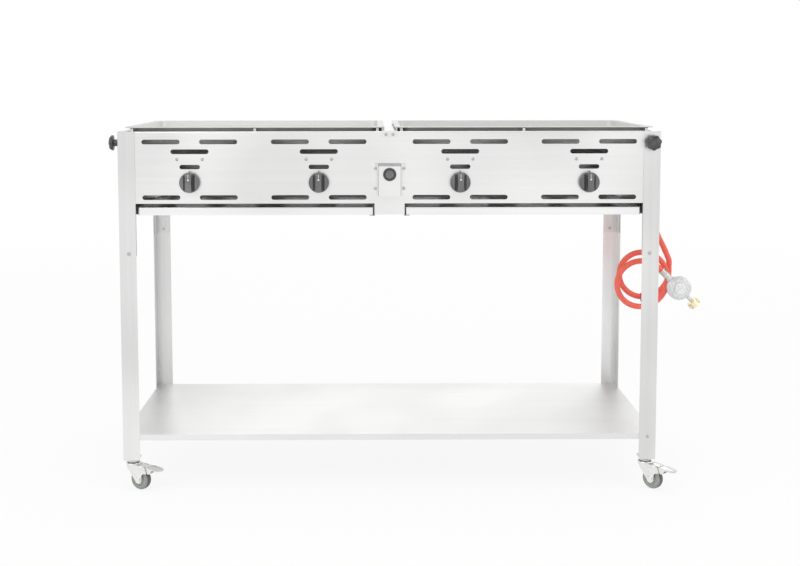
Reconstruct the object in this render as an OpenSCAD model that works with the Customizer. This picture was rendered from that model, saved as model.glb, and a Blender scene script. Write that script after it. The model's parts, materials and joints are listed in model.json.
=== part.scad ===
/* [Trolley] */
// Height of the leg tops and of the housing edge
top_z = 860; // [820:5:930]
// Width of each flange of a leg
leg_flange = 40; // [38:1:44]
// Sheet thickness of the legs
leg_t = 2; // [1.5:0.5:3]
// Radius of the rounded corners at the foot of a leg
leg_corner_r = 10; // [5:1:14]
// Height of the shelf top
shelf_z = 135; // [115:5:300]
// Depth of the folded rim of the shelf
shelf_rim = 14; // [10:1:25]
// Sheet thickness of the shelf
shelf_t = 1.5; // [1:0.5:3]

/* [Housing] */
// Height of the front, side and rear panels
panel_h = 170; // [166:1:185]
// Sheet thickness of the housing
sheet_t = 1.5; // [1:0.5:2]
// Inner radius of the folded top edges
bend_r = 1.5; // [1:0.5:3]
// Depth of the folded bottom edge of the front panel
hem_d = 12; // [8:1:16]
// How far the apron hangs below the front panel
apron_drop = 26.5; // [25:0.5:27.5]
// Width of the apron in the middle
apron_w = 71; // [60:1:76]
// Flange width of the corner posts inside the housing
post_flange = 37; // [34:1:37]
// Sheet thickness of the corner posts
post_t = 2; // [1.5:0.5:3]
// Height of the lower ends of the corner posts
post_z = 560; // [540:5:562]
// Height of the locating pins through the legs
pin_z = 571; // [571:1:590]
// Distance of a locating pin from the corner of its leg
pin_inset = 22.5; // [20:0.5:26]
// Diameter of the locating pins
pin_d = 7.5; // [6:0.5:9]

/* [Vent slots] */
// Length of the long slots
slot_l = 89; // [70:1:100]
// Height of the long slots
slot_h = 11; // [8:0.5:12]
// Length of the small viewing slot
view_l = 48; // [40:1:56]
// Height of the small viewing slot
view_h = 10.5; // [8:0.5:12]
// Distance of a paired slot from the middle of its station
slot_offset = 67.5; // [64:0.5:70]
// Depth of the upper row below the top edge
upper_row = 24.5; // [22:0.5:26]
// Depth of the middle slot below the top edge
middle_row = 47.5; // [45:0.5:50]
// Depth of the bracket screws below the top edge
screw_row = 65.5; // [64:0.5:67]
// Depth of the viewing slot below the top edge
view_row = 83.5; // [82:0.5:85]
// Depth of the knobs below the top edge
knob_row = 120; // [118:0.5:122]
// Depth of the lower row below the top edge
lower_row = 155.5; // [153:0.5:157]

/* [Pans] */
// Width of a pan over its rim
pan_w = 611; // [600:1:640]
// Depth of a pan over its rim
pan_d = 427; // [410:1:460]
// Gap between the two pans
pan_gap = 24; // [20:1:28]
// Distance of the pans from the sides of the trolley
pan_side = 14.5; // [12:0.5:20]
// Distance of the pans behind the front of the legs
pan_inset = 15; // [12:1:18]
// Distance of the pans before the back of the legs
pan_back = 44; // [40:1:60]
// Inner depth of a pan
pan_depth = 42; // [36:1:46]
// Sheet thickness of a pan
pan_t = 2.5; // [2:0.5:3]
// Width of the flat rim
pan_rim = 16; // [15:0.5:20]
// Corner radius of the rim
pan_corner = 12; // [6:1:18]
// Corner radius of the well
well_corner = 22; // [16:1:30]
// Gap between a well and the housing around it
well_gap = 1; // [0.5:0.5:2]
// Diameter of the studs under a rim
stud_d = 9; // [7:0.5:9]
// Height of the studs under a rim
stud_h = 7.3; // [6:0.1:10]
// Distance of a stud from the side edge of its pan
stud_inset = 16; // [12:1:20]

/* [Centre bridge] */
// Width of the bridge channel
bridge_w = 36; // [30:1:42]
// Length of the tabs that fold down over the panels
bridge_tab = 14; // [11:1:16]
// Half distance between the two screws of a tab
bridge_screw_x = 8.3; // [6:0.1:11]

/* [Drip trays] */
// Height of a tray
tray_h = 18; // [15:0.5:18]
// Sheet thickness of a tray
tray_t = 1.2; // [1:0.1:2]
// Gap between the panel and a tray
tray_drop = 10; // [8:0.5:10]
// Gap between a tray and the leg beside it
tray_side_gap = 4.5; // [3:0.5:8]
// Gap between a tray and the apron
tray_apron_gap = 2.1; // [1.5:0.1:4]
// How far a tray stands back from the panel
tray_recess = 6; // [3:1:10]
// Gap behind a tray
tray_back_gap = 7.5; // [3:0.5:15]
// Sheet thickness of the tray runners
runner_t = 1.5; // [1:0.5:2]
// How far a side runner reaches under its tray
runner_lap = 20; // [8:1:24]
// How far the middle runner reaches under a tray
hat_lap = 11; // [8:1:20]

/* [Burners] */
// Distance between the two burners of a pan
burner_pitch = 303; // [296:1:310]
// Diameter of the two flame tubes of a burner
flame_tube_d = 28; // [24:1:32]
// Diameter of the cross tube
cross_tube_d = 24; // [20:1:24]
// Diameter of the mixing tube
mixing_tube_d = 20; // [18:1:20]
// Diameter of the flared mouth of the mixing tube
mouth_d = 28; // [24:1:30]
// Wall thickness of the burner tubes
burner_wall = 1.5; // [1:0.5:2]
// Length of the flame tubes
flame_tube_l = 345; // [320:5:350]
// Diameter of a flame port
port_d = 3; // [2:0.5:4]
// Distance between flame ports
port_pitch = 24; // [20:1:30]
// Width of a burner hanger
hanger_w = 110; // [104:1:120]
// Sheet thickness of the hangers and of the rear rail
hanger_t = 2; // [1.5:0.5:3]

/* [Gas line] */
// Diameter of the gas pipe
pipe_d = 16; // [14:1:17]
// Depth of the gas pipe below the knobs
pipe_drop = 24; // [23:0.5:25]
// Distance of the gas pipe behind the front panel
pipe_back = 34.5; // [34:0.5:37]
// Middle radius of the bends of the gas pipe
pipe_bend_r = 24; // [20:1:30]
// Diameter of a valve body
valve_d = 24; // [22:1:26]
// Diameter of a valve stem
stem_d = 8; // [6:0.5:9]
// Diameter of the spark electrodes
electrode_d = 6; // [5:0.5:7]

/* [Knobs and buttons] */
// Diameter of a burner knob
knob_d = 47; // [42:1:50]
// Depth of a burner knob
knob_depth = 26; // [24:1:30]
// Distance of a knob from the panel
knob_gap = 4; // [3.5:0.5:6]
// Width of the grip bar of a knob
grip_w = 14; // [12:1:16]
// Radius of the hollow beside the grip bar
grip_hollow_r = 16; // [14:1:18]
// Width of the pointer on a knob
pointer_w = 2.4; // [1.5:0.1:4]
// How far the pointer stands out beyond the knob
pointer_out = 3; // [1:0.5:5]
// Push travel of a valve stem
stem_travel = 3; // [2:0.5:3]
// Width of the igniter box
igniter_w = 54; // [50:1:60]
// Depth of the igniter box
igniter_depth = 21; // [18:1:24]
// Height of the igniter box
igniter_h = 76; // [70:1:80]
// Height of the sloped top of the igniter box
igniter_slope = 6; // [4:1:10]
// Width of the screw flanges of the igniter box
igniter_flange = 13; // [11:1:15]
// Diameter of the igniter collar
collar_d = 31; // [29:1:34]
// Diameter of the igniter button
button_d = 19; // [16:1:20]
// Push travel of the igniter button
button_travel = 5; // [3:1:6]

/* [Star knobs] */
// Diameter over the lobes of a star knob
star_d = 37; // [33:1:38]
// Thickness of the lobed head
star_head = 11; // [10:1:16]
// Length of the neck under the head
star_neck = 11.5; // [8:0.5:14]
// Diameter of the threaded stud
star_stud_d = 8; // [6:1:8]
// Number of lobes
star_lobes = 7; // [5:1:8]
// Depth of the star knobs below the leg tops
star_row = 28; // [26:1:34]

/* [Casters] */
// Diameter of a wheel
wheel_d = 50; // [46:1:50]
// Width of a wheel
wheel_w = 18; // [16:1:20]
// Height of a caster from the floor to the leg
caster_h = 72; // [70:1:80]
// Distance of the axle from the swivel axis
trail = 22.5; // [20:0.5:24]
// Diameter of the axle
axle_d = 8; // [6:0.5:9]
// Diameter of the swivel rivet
swivel_d = 10; // [8:0.5:12]
// Diameter of the swivel crown
crown_d = 35; // [32:1:36]
// Distance of a swivel axis from the leg corner
caster_inset = 20; // [19:0.5:21]
// Reach of a brake pedal from the swivel axis
pedal_reach = 86; // [80:1:92]
// Width of a brake pedal at its tip
pedal_w = 30; // [26:1:32]
// Turn of the front left caster about its swivel axis
yaw_left = -27; // [-40:1:-15]
// Turn of the front right caster about its swivel axis
yaw_right = -46; // [-60:1:-30]

/* [Gas hose] */
// Diameter of the hose
hose_d = 14; // [12:0.5:14.5]
// Middle radius of the hanging coil
coil_r = 61; // [60:0.5:62]
// Diameter of the regulator
reg_d = 59; // [54:1:60]
// Diameter of the cylinder nut on the regulator
nut_d = 28; // [26:1:32]
// Length of the cylinder nut
nut_l = 15; // [12:1:18]

/* [Hidden] */
$fn = 48;

// Colours as the photograph shows them
steel = [0.86, 0.86, 0.85];
dark_steel = [0.62, 0.63, 0.64];
zinc = [0.78, 0.78, 0.76];
brass = [0.78, 0.66, 0.38];
black = [0.09, 0.09, 0.1];
grey_rubber = [0.3, 0.32, 0.3];
hose_red = [0.85, 0.27, 0.12];
aluminium = [0.72, 0.73, 0.74];
ceramic = [0.93, 0.92, 0.88];

// Clearances: a running fit, a bolt in its hole, a piece that rests or hangs beside another
run_fit = 0.05;
hole_fit = 0.1;
seat_gap = 0.2;
eps = 0.01;

// The trolley is made round the pans
trolley_w = pan_gap + 2 * (pan_w + pan_side);
trolley_d = pan_inset + pan_d + pan_back;

// Faces of the legs and panels
leg_x = trolley_w / 2;
leg_y = trolley_d / 2;
panel_x = leg_x - leg_t;
panel_y = leg_y - leg_t;
inner_x = panel_x - sheet_t;
inner_y = panel_y - sheet_t;
bottom_z = top_z - panel_h;
apron_z = bottom_z - apron_drop;
bend_o = bend_r + sheet_t;
post_offset = leg_t + sheet_t;
post_top = top_z - bend_o - 1;

// Pans and the opening that they hang in
pan_lip = pan_rim - pan_t;
pan_top = top_z + stud_h + seat_gap + pan_t;
pan_x = pan_gap / 2 + pan_w / 2;
pan_front = -leg_y + pan_inset;
pan_y = pan_front + pan_d / 2;
mouth_front = pan_front + pan_lip - well_gap;
mouth_rear = pan_front + pan_d - pan_lip + well_gap;
mouth_x = pan_gap / 2 + pan_w - pan_lip + well_gap;
stud_edge = (pan_lip - well_gap) / 2 + 0.75;

// Bridge
bridge_h = stud_h - 0.5;
bridge_screw_z = top_z - bridge_tab / 2 - 0.4;
bridge_z = top_z - bridge_tab;

// Drip trays
tray_top = bottom_z - tray_drop;
tray_z = tray_top - tray_h;
tray_x0 = apron_w / 2 + tray_apron_gap;
tray_x1 = leg_x - leg_flange - tray_side_gap;
tray_y0 = -panel_y + tray_recess;
tray_y1 = inner_y - tray_back_gap;
tray_corner = 4;
runner_top = tray_z - seat_gap;
runner_z = runner_top - runner_t;
runner_wall_top = bottom_z + 14;
runner_end = inner_y - post_flange - 2;

// Burner stations from left to right, and their axis
station_x = [-pan_x - burner_pitch / 2, -pan_x + burner_pitch / 2,
             pan_x - burner_pitch / 2, pan_x + burner_pitch / 2];
knob_z = top_z - knob_row;
station_screw_x = 30;
hanger_back = 70;
hanger_y = -inner_y + hanger_back;
mouth_lead = 20;
cross_back = 30;
mouth_y = hanger_y - mouth_lead;
cross_y = hanger_y + cross_back;
flame_y0 = cross_y - flame_tube_d / 2;
flame_y1 = flame_y0 + flame_tube_l;
port_inset = 30;
rail_y = flame_y1 - port_inset;
rail_w = 20;
port_count = floor((flame_tube_l - 2 * port_inset) / port_pitch);

// Gas pipe
pipe_y = -inner_y + pipe_back;
pipe_z = knob_z - pipe_drop;
inlet_run = 112;
inlet_y = pipe_y + inlet_run;
pipe_turn_x = inner_x - 26 - 2 * pipe_bend_r;
pipe_end_x = leg_x + 7.5;
pipe_stub = 28;
saddle_w = 24;
valve_y0 = -inner_y + 8;
valve_y1 = pipe_y + 5;
jet_y = mouth_y + 2;

// Valve stems and knobs
knob_back = -panel_y - knob_gap;
knob_front = knob_back - knob_depth;
stem_front = knob_front + 9;
stem_back = valve_y0 + 10;

// Igniter
igniter_drop = 75;
igniter_top = top_z - igniter_drop;
igniter_bottom = igniter_top - igniter_h;
button_z = igniter_top - 25;
igniter_front = -panel_y - igniter_depth;
collar_t = 4;
button_proud = 2;
neck_d = 24;
igniter_screw_x = igniter_w / 2 + igniter_flange / 2;
igniter_screw_z = [igniter_bottom + 16.7, igniter_top - 11.4];
igniter_back = -inner_y + 24;
electrode_x = slot_offset - flame_tube_d / 2 - 5.5;
electrode_z = knob_z + 22;
electrode_front = hanger_y - 22;
electrode_back = hanger_y + 18;
electrode_wire = 12;
lead_d = 3;
lead_rise = 20;
lead_step = 6;

// Star knobs
star_z = top_z - star_row;
star_inset = leg_flange / 2;
weld_nut = 8;

// Screws
screw_d = 4;
screw_head_d = 8;
screw_head_h = 2.2;

// Casters
axle_z = wheel_d / 2;
cheek_gap = 1.5;
cheek_t = 2;
cheek_in = wheel_w / 2 + cheek_gap;
cheek_out = cheek_in + cheek_t;
axle_end_r = 9.5;
rivet_head = 3;
rivet_z = axle_z + wheel_d / 2 + 6;
crown_z = rivet_z + rivet_head + seat_gap;
crown_plate = 2;
pin_x = trail + 7.5;
pedal_pin_z = crown_z - 3.2;
pedal_pin_d = 5;
pedal_slope = 4;
pedal_t = 2;
shoe_x = 14;
shoe_drop = 11.5;
caster_yaw = [yaw_left, yaw_right, yaw_left + 180, yaw_right + 180];

// Hose: the free stretch hangs from the elbow along points chosen by hand
elbow_x = leg_x + 22.5;
hose_drop = 60;
hose_exit = [elbow_x, inlet_y, pipe_z - hose_drop];
lead_route = [[0, 0, 0], [0, 0, -16], [2, 0, -40], [10, 0, -64], [22, 0, -88],
              [33, 0, -112], [38, 0, -126], [38, 0, -140]];
lead_points = [for (p = lead_route) hose_exit + p];
coil_start = hose_exit + lead_route[len(lead_route) - 1];

// The coil turns about two centres that drift apart, and runs out straight to the regulator
coil_sweep = 675;
coil_advance = 40;
coil_tail = 22;
rings_per_turn = 24;
reg_dir = [cos(45), -sin(45)];
reg_barb = 46;
reg_back = 8;
coil_c0 = [coil_start.x - coil_r, coil_start.z - hose_d];
reg_offset = [76, -33];
reg_c = coil_c0 + reg_offset;
coil_leave = reg_c - (reg_barb + coil_tail) * reg_dir;
coil_c1 = coil_leave - coil_r * [cos(45), sin(45)];
reg_y = coil_start.y - coil_advance;

function ease(t) = t * t * (3 - 2 * t);
function unit(v) = v / norm(v);
function coil_centre(t) = coil_c0 + (coil_c1 - coil_c0) * ease(t);
function coil_point(t) = let (a = coil_sweep * t, c = coil_centre(t))
    [c.x + coil_r * cos(a), coil_start.y - coil_advance * ease(t), c.y - coil_r * sin(a)];
function coil_path(steps) = [coil_start, for (i = [0 : steps]) coil_point(i / steps),
    [reg_c.x - reg_barb * reg_dir.x, reg_y, reg_c.y - reg_barb * reg_dir.y]];
coil_rings = round(rings_per_turn * coil_sweep / 360);

// Least gap between turns, measured on points half a turn or more apart
fine_steps = 240;
fine_path = coil_path(fine_steps);
half_turn = floor(fine_steps * 180 / coil_sweep);
coil_gap = min([for (i = [0 : len(fine_path) - 1 - half_turn])
    min([for (j = [i + half_turn : len(fine_path) - 1]) norm(fine_path[i] - fine_path[j])])]) - hose_d;
echo(str("Least gap of the hose coil to itself: ", coil_gap, " mm"));

function path_dir(p, i) = unit(p[min(i + 1, len(p) - 1)] - p[max(i - 1, 0)]);
function path_ring(p, i, r, n) =
    let (t = path_dir(p, i), a = unit(cross(t, [0.02, 1, 0.01])), b = cross(t, a))
    [for (k = [0 : n - 1]) p[i] + r * (cos(360 * k / n) * a + sin(360 * k / n) * b)];

// A round tube swept along a list of points, closed at both ends
module tube(p, d, n) {
    last = (len(p) - 1) * n;
    sides = [for (i = [0 : len(p) - 2], k = [0 : n - 1])
        let (a = i * n + k, b = i * n + (k + 1) % n) each [[a, a + n, b + n], [a, b + n, b]]];
    caps = [for (k = [1 : n - 2]) each [[0, k, k + 1], [last, last + k + 1, last + k]]];
    polyhedron([for (i = [0 : len(p) - 1]) each path_ring(p, i, d / 2, n)], concat(sides, caps));
}

// Shapes that several pieces share
module along_x(x0, x1) {
    translate([x0, 0, 0]) rotate([90, 0, 90]) linear_extrude(x1 - x0) children();
}
module along_y(y0, y1) {
    translate([0, y1, 0]) rotate([90, 0, 0]) linear_extrude(y1 - y0) children();
}
module rod_x(d, x0, x1) {
    translate([x0, 0, 0]) rotate([0, 90, 0]) cylinder(d = d, h = x1 - x0);
}
module rod_y(d, y0, y1) {
    translate([0, y0, 0]) rotate([-90, 0, 0]) cylinder(d = d, h = y1 - y0);
}
module rod_z(d, z0, z1) {
    translate([0, 0, z0]) cylinder(d = d, h = z1 - z0);
}
module rounded_rect(w, d, r) {
    square([w - 2 * r, d], center = true);
    square([w, d - 2 * r], center = true);
    for (x = [-1, 1], y = [-1, 1]) translate([x * (w / 2 - r), y * (d / 2 - r)]) circle(r);
}
module slot(l, h) {
    square([l - h, h], center = true);
    for (s = [-1, 1]) translate([s * (l - h) / 2, 0]) circle(d = h);
}
module hexagon(across, x0, x1) {
    translate([x0, 0, 0]) rotate([0, 90, 0]) cylinder(d = across / cos(30), h = x1 - x0, $fn = 6);
}

// Folded sheet seen from its end: a wall down and a flange across, outer faces on the two axes
module folded_sheet(wall, flange, t, r) {
    translate([0, -wall]) square([t, wall - r - t]);
    translate([r + t, -t]) square([flange - r - t, t]);
    intersection() {
        translate([r + t, -r - t]) difference() {
            circle(r + t);
            circle(r);
        }
        translate([0, -r - t]) square(r + t);
    }
}

// Angle profile with a rounded outer corner, flanges along +X and +Y
module angle_profile(flange, t) {
    translate([t, 0]) square([flange - t, t]);
    translate([0, t]) square([t, flange - t]);
    intersection() {
        translate([t, t]) circle(t);
        square(t);
    }
}

// Cuts the free lower corner of a flange to a radius
module foot_corner(flange, t, z, r) {
    difference() {
        translate([flange - r, -1, z - 1]) cube([r + 1, t + 2, r + 1]);
        translate([flange - r, 0, z + r]) rod_y(2 * r, -2, t + 2);
    }
}
module foot_corners(flange, t, z, r) {
    foot_corner(flange, t, z, r);
    mirror([1, -1, 0]) foot_corner(flange, t, z, r);
}

// Places a piece at one of the four corners: front left, front right, rear right, rear left
module at_corner(i) {
    x = [-leg_x, leg_x, leg_x, -leg_x][i];
    y = [-leg_y, -leg_y, leg_y, leg_y][i];
    translate([x, y, 0]) rotate(90 * i) children();
}

// Openings of the front and rear panels
module screw_holes(x, place) {
    for (s = [-1, 1]) translate([x + s * place[0], place[1]]) circle(d = screw_d + hole_fit);
}
module paired_slots(z) {
    for (x = station_x, s = [-1, 1]) translate([x + s * slot_offset, z]) slot(slot_l, slot_h);
}
module common_openings() {
    paired_slots(top_z - upper_row);
    paired_slots(top_z - lower_row);
    screw_holes(0, [bridge_screw_x, bridge_screw_z]);
}
module front_openings() {
    common_openings();
    for (x = station_x) {
        translate([x, top_z - middle_row]) slot(slot_l, slot_h);
        translate([x, top_z - view_row]) slot(view_l, view_h);
        translate([x, knob_z]) circle(d = stem_d + 4);
        screw_holes(x, [station_screw_x, top_z - screw_row]);
    }
    translate([0, button_z]) circle(d = neck_d + 2);
    for (z = igniter_screw_z) screw_holes(0, [igniter_screw_x, z]);
    translate([leg_x - star_inset, star_z]) circle(d = star_stud_d + 1);
}

// Removes the folded edge beyond the mouth of the housing at both ends
module edge_notches(depth) {
    for (x = [-panel_x - 1, panel_x - bend_o]) translate([x, -inner_y, top_z - bend_o])
        cube([bend_o + 1, depth, bend_o + 1]);
}
module front_panel() {
    flange = mouth_front + panel_y;
    hem_x = inner_x - post_flange - 2;
    color(steel) difference() {
        union() {
            along_x(-panel_x, panel_x) translate([-panel_y, top_z])
                folded_sheet(panel_h, flange, sheet_t, bend_r);
            for (s = [-1, 1]) translate([s > 0 ? apron_w / 2 + 2 : -hem_x, -panel_y, bottom_z])
                cube([hem_x - apron_w / 2 - 2, hem_d, sheet_t]);
            translate([-apron_w / 2, -panel_y, apron_z]) cube([apron_w, sheet_t, apron_drop + sheet_t]);
        }
        along_y(-panel_y - 1, -inner_y + 1) front_openings();
        edge_notches(flange);
    }
}
module rear_panel() {
    flange = panel_y - mouth_rear;
    color(steel) difference() {
        mirror([0, 1, 0]) difference() {
            along_x(-panel_x, panel_x) translate([-panel_y, top_z])
                folded_sheet(top_z - apron_z, flange, sheet_t, bend_r);
            edge_notches(flange);
        }
        along_y(inner_y - 1, panel_y + 1) {
            common_openings();
            translate([-leg_x + star_inset, star_z]) circle(d = star_stud_d + 1);
        }
    }
}

// Side panel on the left, folded inwards at the top and cut away where the front and rear edges lie
module side_panel_blank() {
    flange = panel_x - mouth_x;
    difference() {
        along_y(-inner_y, inner_y) translate([-panel_x, top_z])
            folded_sheet(panel_h, flange, sheet_t, bend_r);
        translate([-panel_x + bend_o, -inner_y - 1, top_z - bend_o])
            cube([flange, mouth_front + inner_y + 1, bend_o + 1]);
        translate([-panel_x + bend_o, mouth_rear, top_z - bend_o])
            cube([flange, inner_y - mouth_rear + 1, bend_o + 1]);
    }
}
module left_side_panel() {
    color(steel) difference() {
        side_panel_blank();
        translate([-panel_x, -leg_y + star_inset, star_z]) rod_x(star_stud_d + 1, -1, sheet_t + 1);
    }
}
module right_side_panel() {
    color(steel) difference() {
        mirror([1, 0, 0]) side_panel_blank();
        translate([inner_x, leg_y - star_inset, star_z]) rod_x(star_stud_d + 1, -1, sheet_t + 1);
        translate([inner_x, inlet_y, pipe_z]) rod_x(pipe_d + 1, -1, sheet_t + 1);
    }
}

// Channel between the pans, with a tab folded down over the front and rear panels
module centre_bridge() {
    outer_y = panel_y + sheet_t;
    color(steel) difference() {
        union() {
            translate([-bridge_w / 2, -outer_y, top_z]) cube([bridge_w, 2 * outer_y, sheet_t]);
            for (s = [-1, 1]) translate([s > 0 ? bridge_w / 2 - sheet_t : -bridge_w / 2, -panel_y, top_z])
                cube([sheet_t, 2 * panel_y, bridge_h]);
            for (y = [-outer_y, panel_y]) translate([-bridge_w / 2, y, bridge_z])
                cube([bridge_w, sheet_t, bridge_tab + sheet_t]);
        }
        for (s = [-1, 1]) translate([s * bridge_screw_x, 0, bridge_screw_z])
            rod_y(screw_d + hole_fit, -leg_y - 5, leg_y + 5);
    }
}

// Ledges that carry the trays: one on each side panel and a hat channel in the middle
module tray_runners() {
    ledge_x = tray_x1 - runner_lap;
    hat_x = apron_w / 2 - runner_t;
    color(steel) {
        for (s = [0, 1]) mirror([s, 0, 0]) {
            translate([ledge_x, -runner_end, runner_z]) cube([inner_x - ledge_x, 2 * runner_end, runner_t]);
            translate([inner_x - runner_t, -runner_end, runner_z])
                cube([runner_t, 2 * runner_end, runner_wall_top - runner_z]);
        }
        for (s = [0, 1]) mirror([s, 0, 0]) {
            translate([hat_x, -inner_y, runner_z])
                cube([tray_apron_gap + hat_lap, 2 * inner_y, runner_t]);
            translate([hat_x, -inner_y, runner_z]) cube([runner_t, 2 * inner_y, bottom_z - runner_z]);
            translate([-eps, -inner_y, bottom_z - runner_t]) cube([apron_w / 2, 2 * inner_y, runner_t]);
        }
    }
}

// Drip tray: a shallow sheet box with rounded corners
module drip_tray(side) {
    w = tray_x1 - tray_x0;
    d = tray_y1 - tray_y0;
    color(steel) translate([side * (tray_x0 + w / 2), tray_y0 + d / 2, tray_z]) difference() {
        linear_extrude(tray_h) rounded_rect(w, d, tray_corner);
        translate([0, 0, tray_t]) linear_extrude(tray_h)
            rounded_rect(w - 2 * tray_t, d - 2 * tray_t, tray_corner - tray_t);
    }
}

// Shallow pan: a flat rim around a well with rounded corners
module griddle_pan(side) {
    well_w = pan_w - 2 * pan_rim;
    well_d = pan_d - 2 * pan_rim;
    color(steel) translate([side * pan_x, pan_y, 0]) difference() {
        union() {
            translate([0, 0, pan_top - pan_t]) linear_extrude(pan_t) rounded_rect(pan_w, pan_d, pan_corner);
            translate([0, 0, pan_top - pan_depth - pan_t]) linear_extrude(pan_depth + pan_t / 2)
                rounded_rect(well_w + 2 * pan_t, well_d + 2 * pan_t, well_corner + pan_t);
        }
        translate([0, 0, pan_top - pan_depth]) linear_extrude(pan_depth + 1)
            rounded_rect(well_w, well_d, well_corner);
    }
}
module pan_studs() {
    front = pan_front + stud_edge;
    rear = pan_front + pan_d - stud_edge;
    reach = pan_w / 2 - stud_inset;
    r = stud_d / 2;
    color(zinc) for (side = [-1, 1], x = [-reach, 0, reach], y = [front, rear])
        translate([side * pan_x + x, y, top_z]) rotate_extrude()
            polygon([[0, 0], [r, 0], [r, stud_h - 1], [r - 1, stud_h], [0, stud_h]]);
}

// Twin tube burner fed by a mixing tube with a flared mouth
module burner_tubes(wall) {
    for (s = [-1, 1]) translate([s * slot_offset, 0, 0])
        rod_y(flame_tube_d - 2 * wall, flame_y0 + wall, flame_y1 - wall);
    translate([0, cross_y, 0]) rod_x(cross_tube_d - 2 * wall, -slot_offset, slot_offset);
    rod_y(mixing_tube_d - 2 * wall, mouth_y - wall, cross_y);
    translate([0, mouth_y - wall / 2, 0]) rotate([-90, 0, 0])
        cylinder(d1 = mouth_d - 2 * wall, d2 = mixing_tube_d - 2 * wall, h = 12);
}
module burner(i) {
    color(dark_steel) translate([station_x[i], 0, knob_z]) difference() {
        burner_tubes(0);
        burner_tubes(burner_wall);
        for (x = [-slot_offset, slot_offset], k = [0 : port_count])
            translate([x, flame_y0 + port_inset + k * port_pitch, 0]) rod_z(port_d, 0, flame_tube_d);
    }
}

// Hanger behind the panel at each station, and the rail under the rear ends of the burners
module hanger() {
    z0 = knob_z - 18;
    z1 = top_z - screw_row + 9;
    difference() {
        union() {
            translate([-hanger_w / 2, -inner_y, z1 - 18]) cube([hanger_w, hanger_t, 18]);
            translate([-hanger_w / 2, -inner_y, z1 - hanger_t]) cube([hanger_w, hanger_back, hanger_t]);
            translate([-hanger_w / 2, hanger_y - hanger_t, z0]) cube([hanger_w, hanger_t, z1 - z0]);
        }
        translate([0, 0, knob_z]) rod_y(mixing_tube_d + 2 * hole_fit, hanger_y - 5, hanger_y + 5);
        translate([electrode_x, 0, electrode_z])
            rod_y(electrode_d + 2 * hole_fit, hanger_y - 5, hanger_y + 5);
        for (s = [-1, 1]) translate([s * station_screw_x, 0, top_z - screw_row])
            rod_y(screw_d + hole_fit, -inner_y - 1, -inner_y + hanger_t + 1);
    }
}
module burner_brackets() {
    rail_z = knob_z - flame_tube_d / 2 - seat_gap;
    color(dark_steel) {
        for (x = station_x) translate([x, 0, 0]) hanger();
        translate([-inner_x, rail_y, rail_z - hanger_t]) cube([2 * inner_x, rail_w, hanger_t]);
        translate([-inner_x, rail_y, rail_z - rail_w]) cube([2 * inner_x, hanger_t, rail_w]);
    }
}

// Gas pipe: straight behind the valves, then two bends to the inlet in the right side panel
module quarter_bend(start) {
    rotate(start) rotate_extrude(angle = 90) translate([pipe_bend_r, 0]) circle(d = pipe_d);
}
module gas_manifold() {
    turn_x = pipe_turn_x;
    color(aluminium) translate([0, 0, pipe_z]) {
        translate([0, pipe_y, 0]) rod_x(pipe_d, station_x[0] - pipe_stub, turn_x);
        translate([turn_x, pipe_y + pipe_bend_r, 0]) quarter_bend(-90);
        translate([turn_x + pipe_bend_r, 0, 0]) rod_y(pipe_d, pipe_y + pipe_bend_r, inlet_y - pipe_bend_r);
        translate([turn_x + 2 * pipe_bend_r, inlet_y - pipe_bend_r, 0]) quarter_bend(90);
        translate([0, inlet_y, 0]) rod_x(pipe_d, turn_x + 2 * pipe_bend_r, pipe_end_x);
    }
}
module gas_valves() {
    color(brass) for (x = station_x) translate([x, 0, 0]) difference() {
        union() {
            translate([0, 0, knob_z]) rod_y(valve_d, valve_y0, valve_y1);
            translate([0, 0, knob_z]) rod_y(stem_d + 6, valve_y0 - 6, valve_y0 + 1);
            translate([0, 0, knob_z]) rod_y(9, valve_y1 - 1, jet_y);
            translate([-saddle_w / 2, pipe_y - 11, pipe_z - 2]) cube([saddle_w, 16, knob_z - pipe_z]);
        }
        translate([0, pipe_y, pipe_z]) rod_x(pipe_d + 2 * run_fit, -saddle_w, saddle_w);
        translate([0, 0, knob_z]) rod_y(stem_d + 2 * run_fit, valve_y0 - 7, stem_back + stem_travel + 1);
        translate([0, 0, knob_z]) rod_y(2, valve_y1 - 3, jet_y + 1);
    }
}
module valve_stem(i) {
    color(zinc) translate([station_x[i], 0, knob_z]) rod_y(stem_d, stem_front, stem_back);
}

// Knob with a grip bar left between two hollows, and a pointer that stands out at the top of the skirt
module knob_profile() {
    r = knob_d / 2;
    square([r, knob_depth / 3]);
    translate([0, knob_depth / 3]) square([r - 2, knob_depth * 2 / 3 - 3]);
    square([r - 5, knob_depth]);
    translate([r - 5, knob_depth - 3]) circle(3);
}
module burner_knob(i) {
    color(black) translate([station_x[i], knob_back, knob_z]) difference() {
        union() {
            rotate([90, 0, 0]) rotate_extrude() knob_profile();
            translate([-pointer_w / 2, -knob_depth / 3 + 1, knob_d / 2 - 3])
                cube([pointer_w, knob_depth / 3 - 2, pointer_out + 3]);
        }
        for (s = [-1, 1]) translate([s * (grip_w / 2 + grip_hollow_r), -knob_depth, 0])
            rod_z(2 * grip_hollow_r, -knob_d, knob_d);
        rod_y(stem_d + 2 * run_fit, stem_front - knob_back - run_fit, 1);
    }
}

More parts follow.
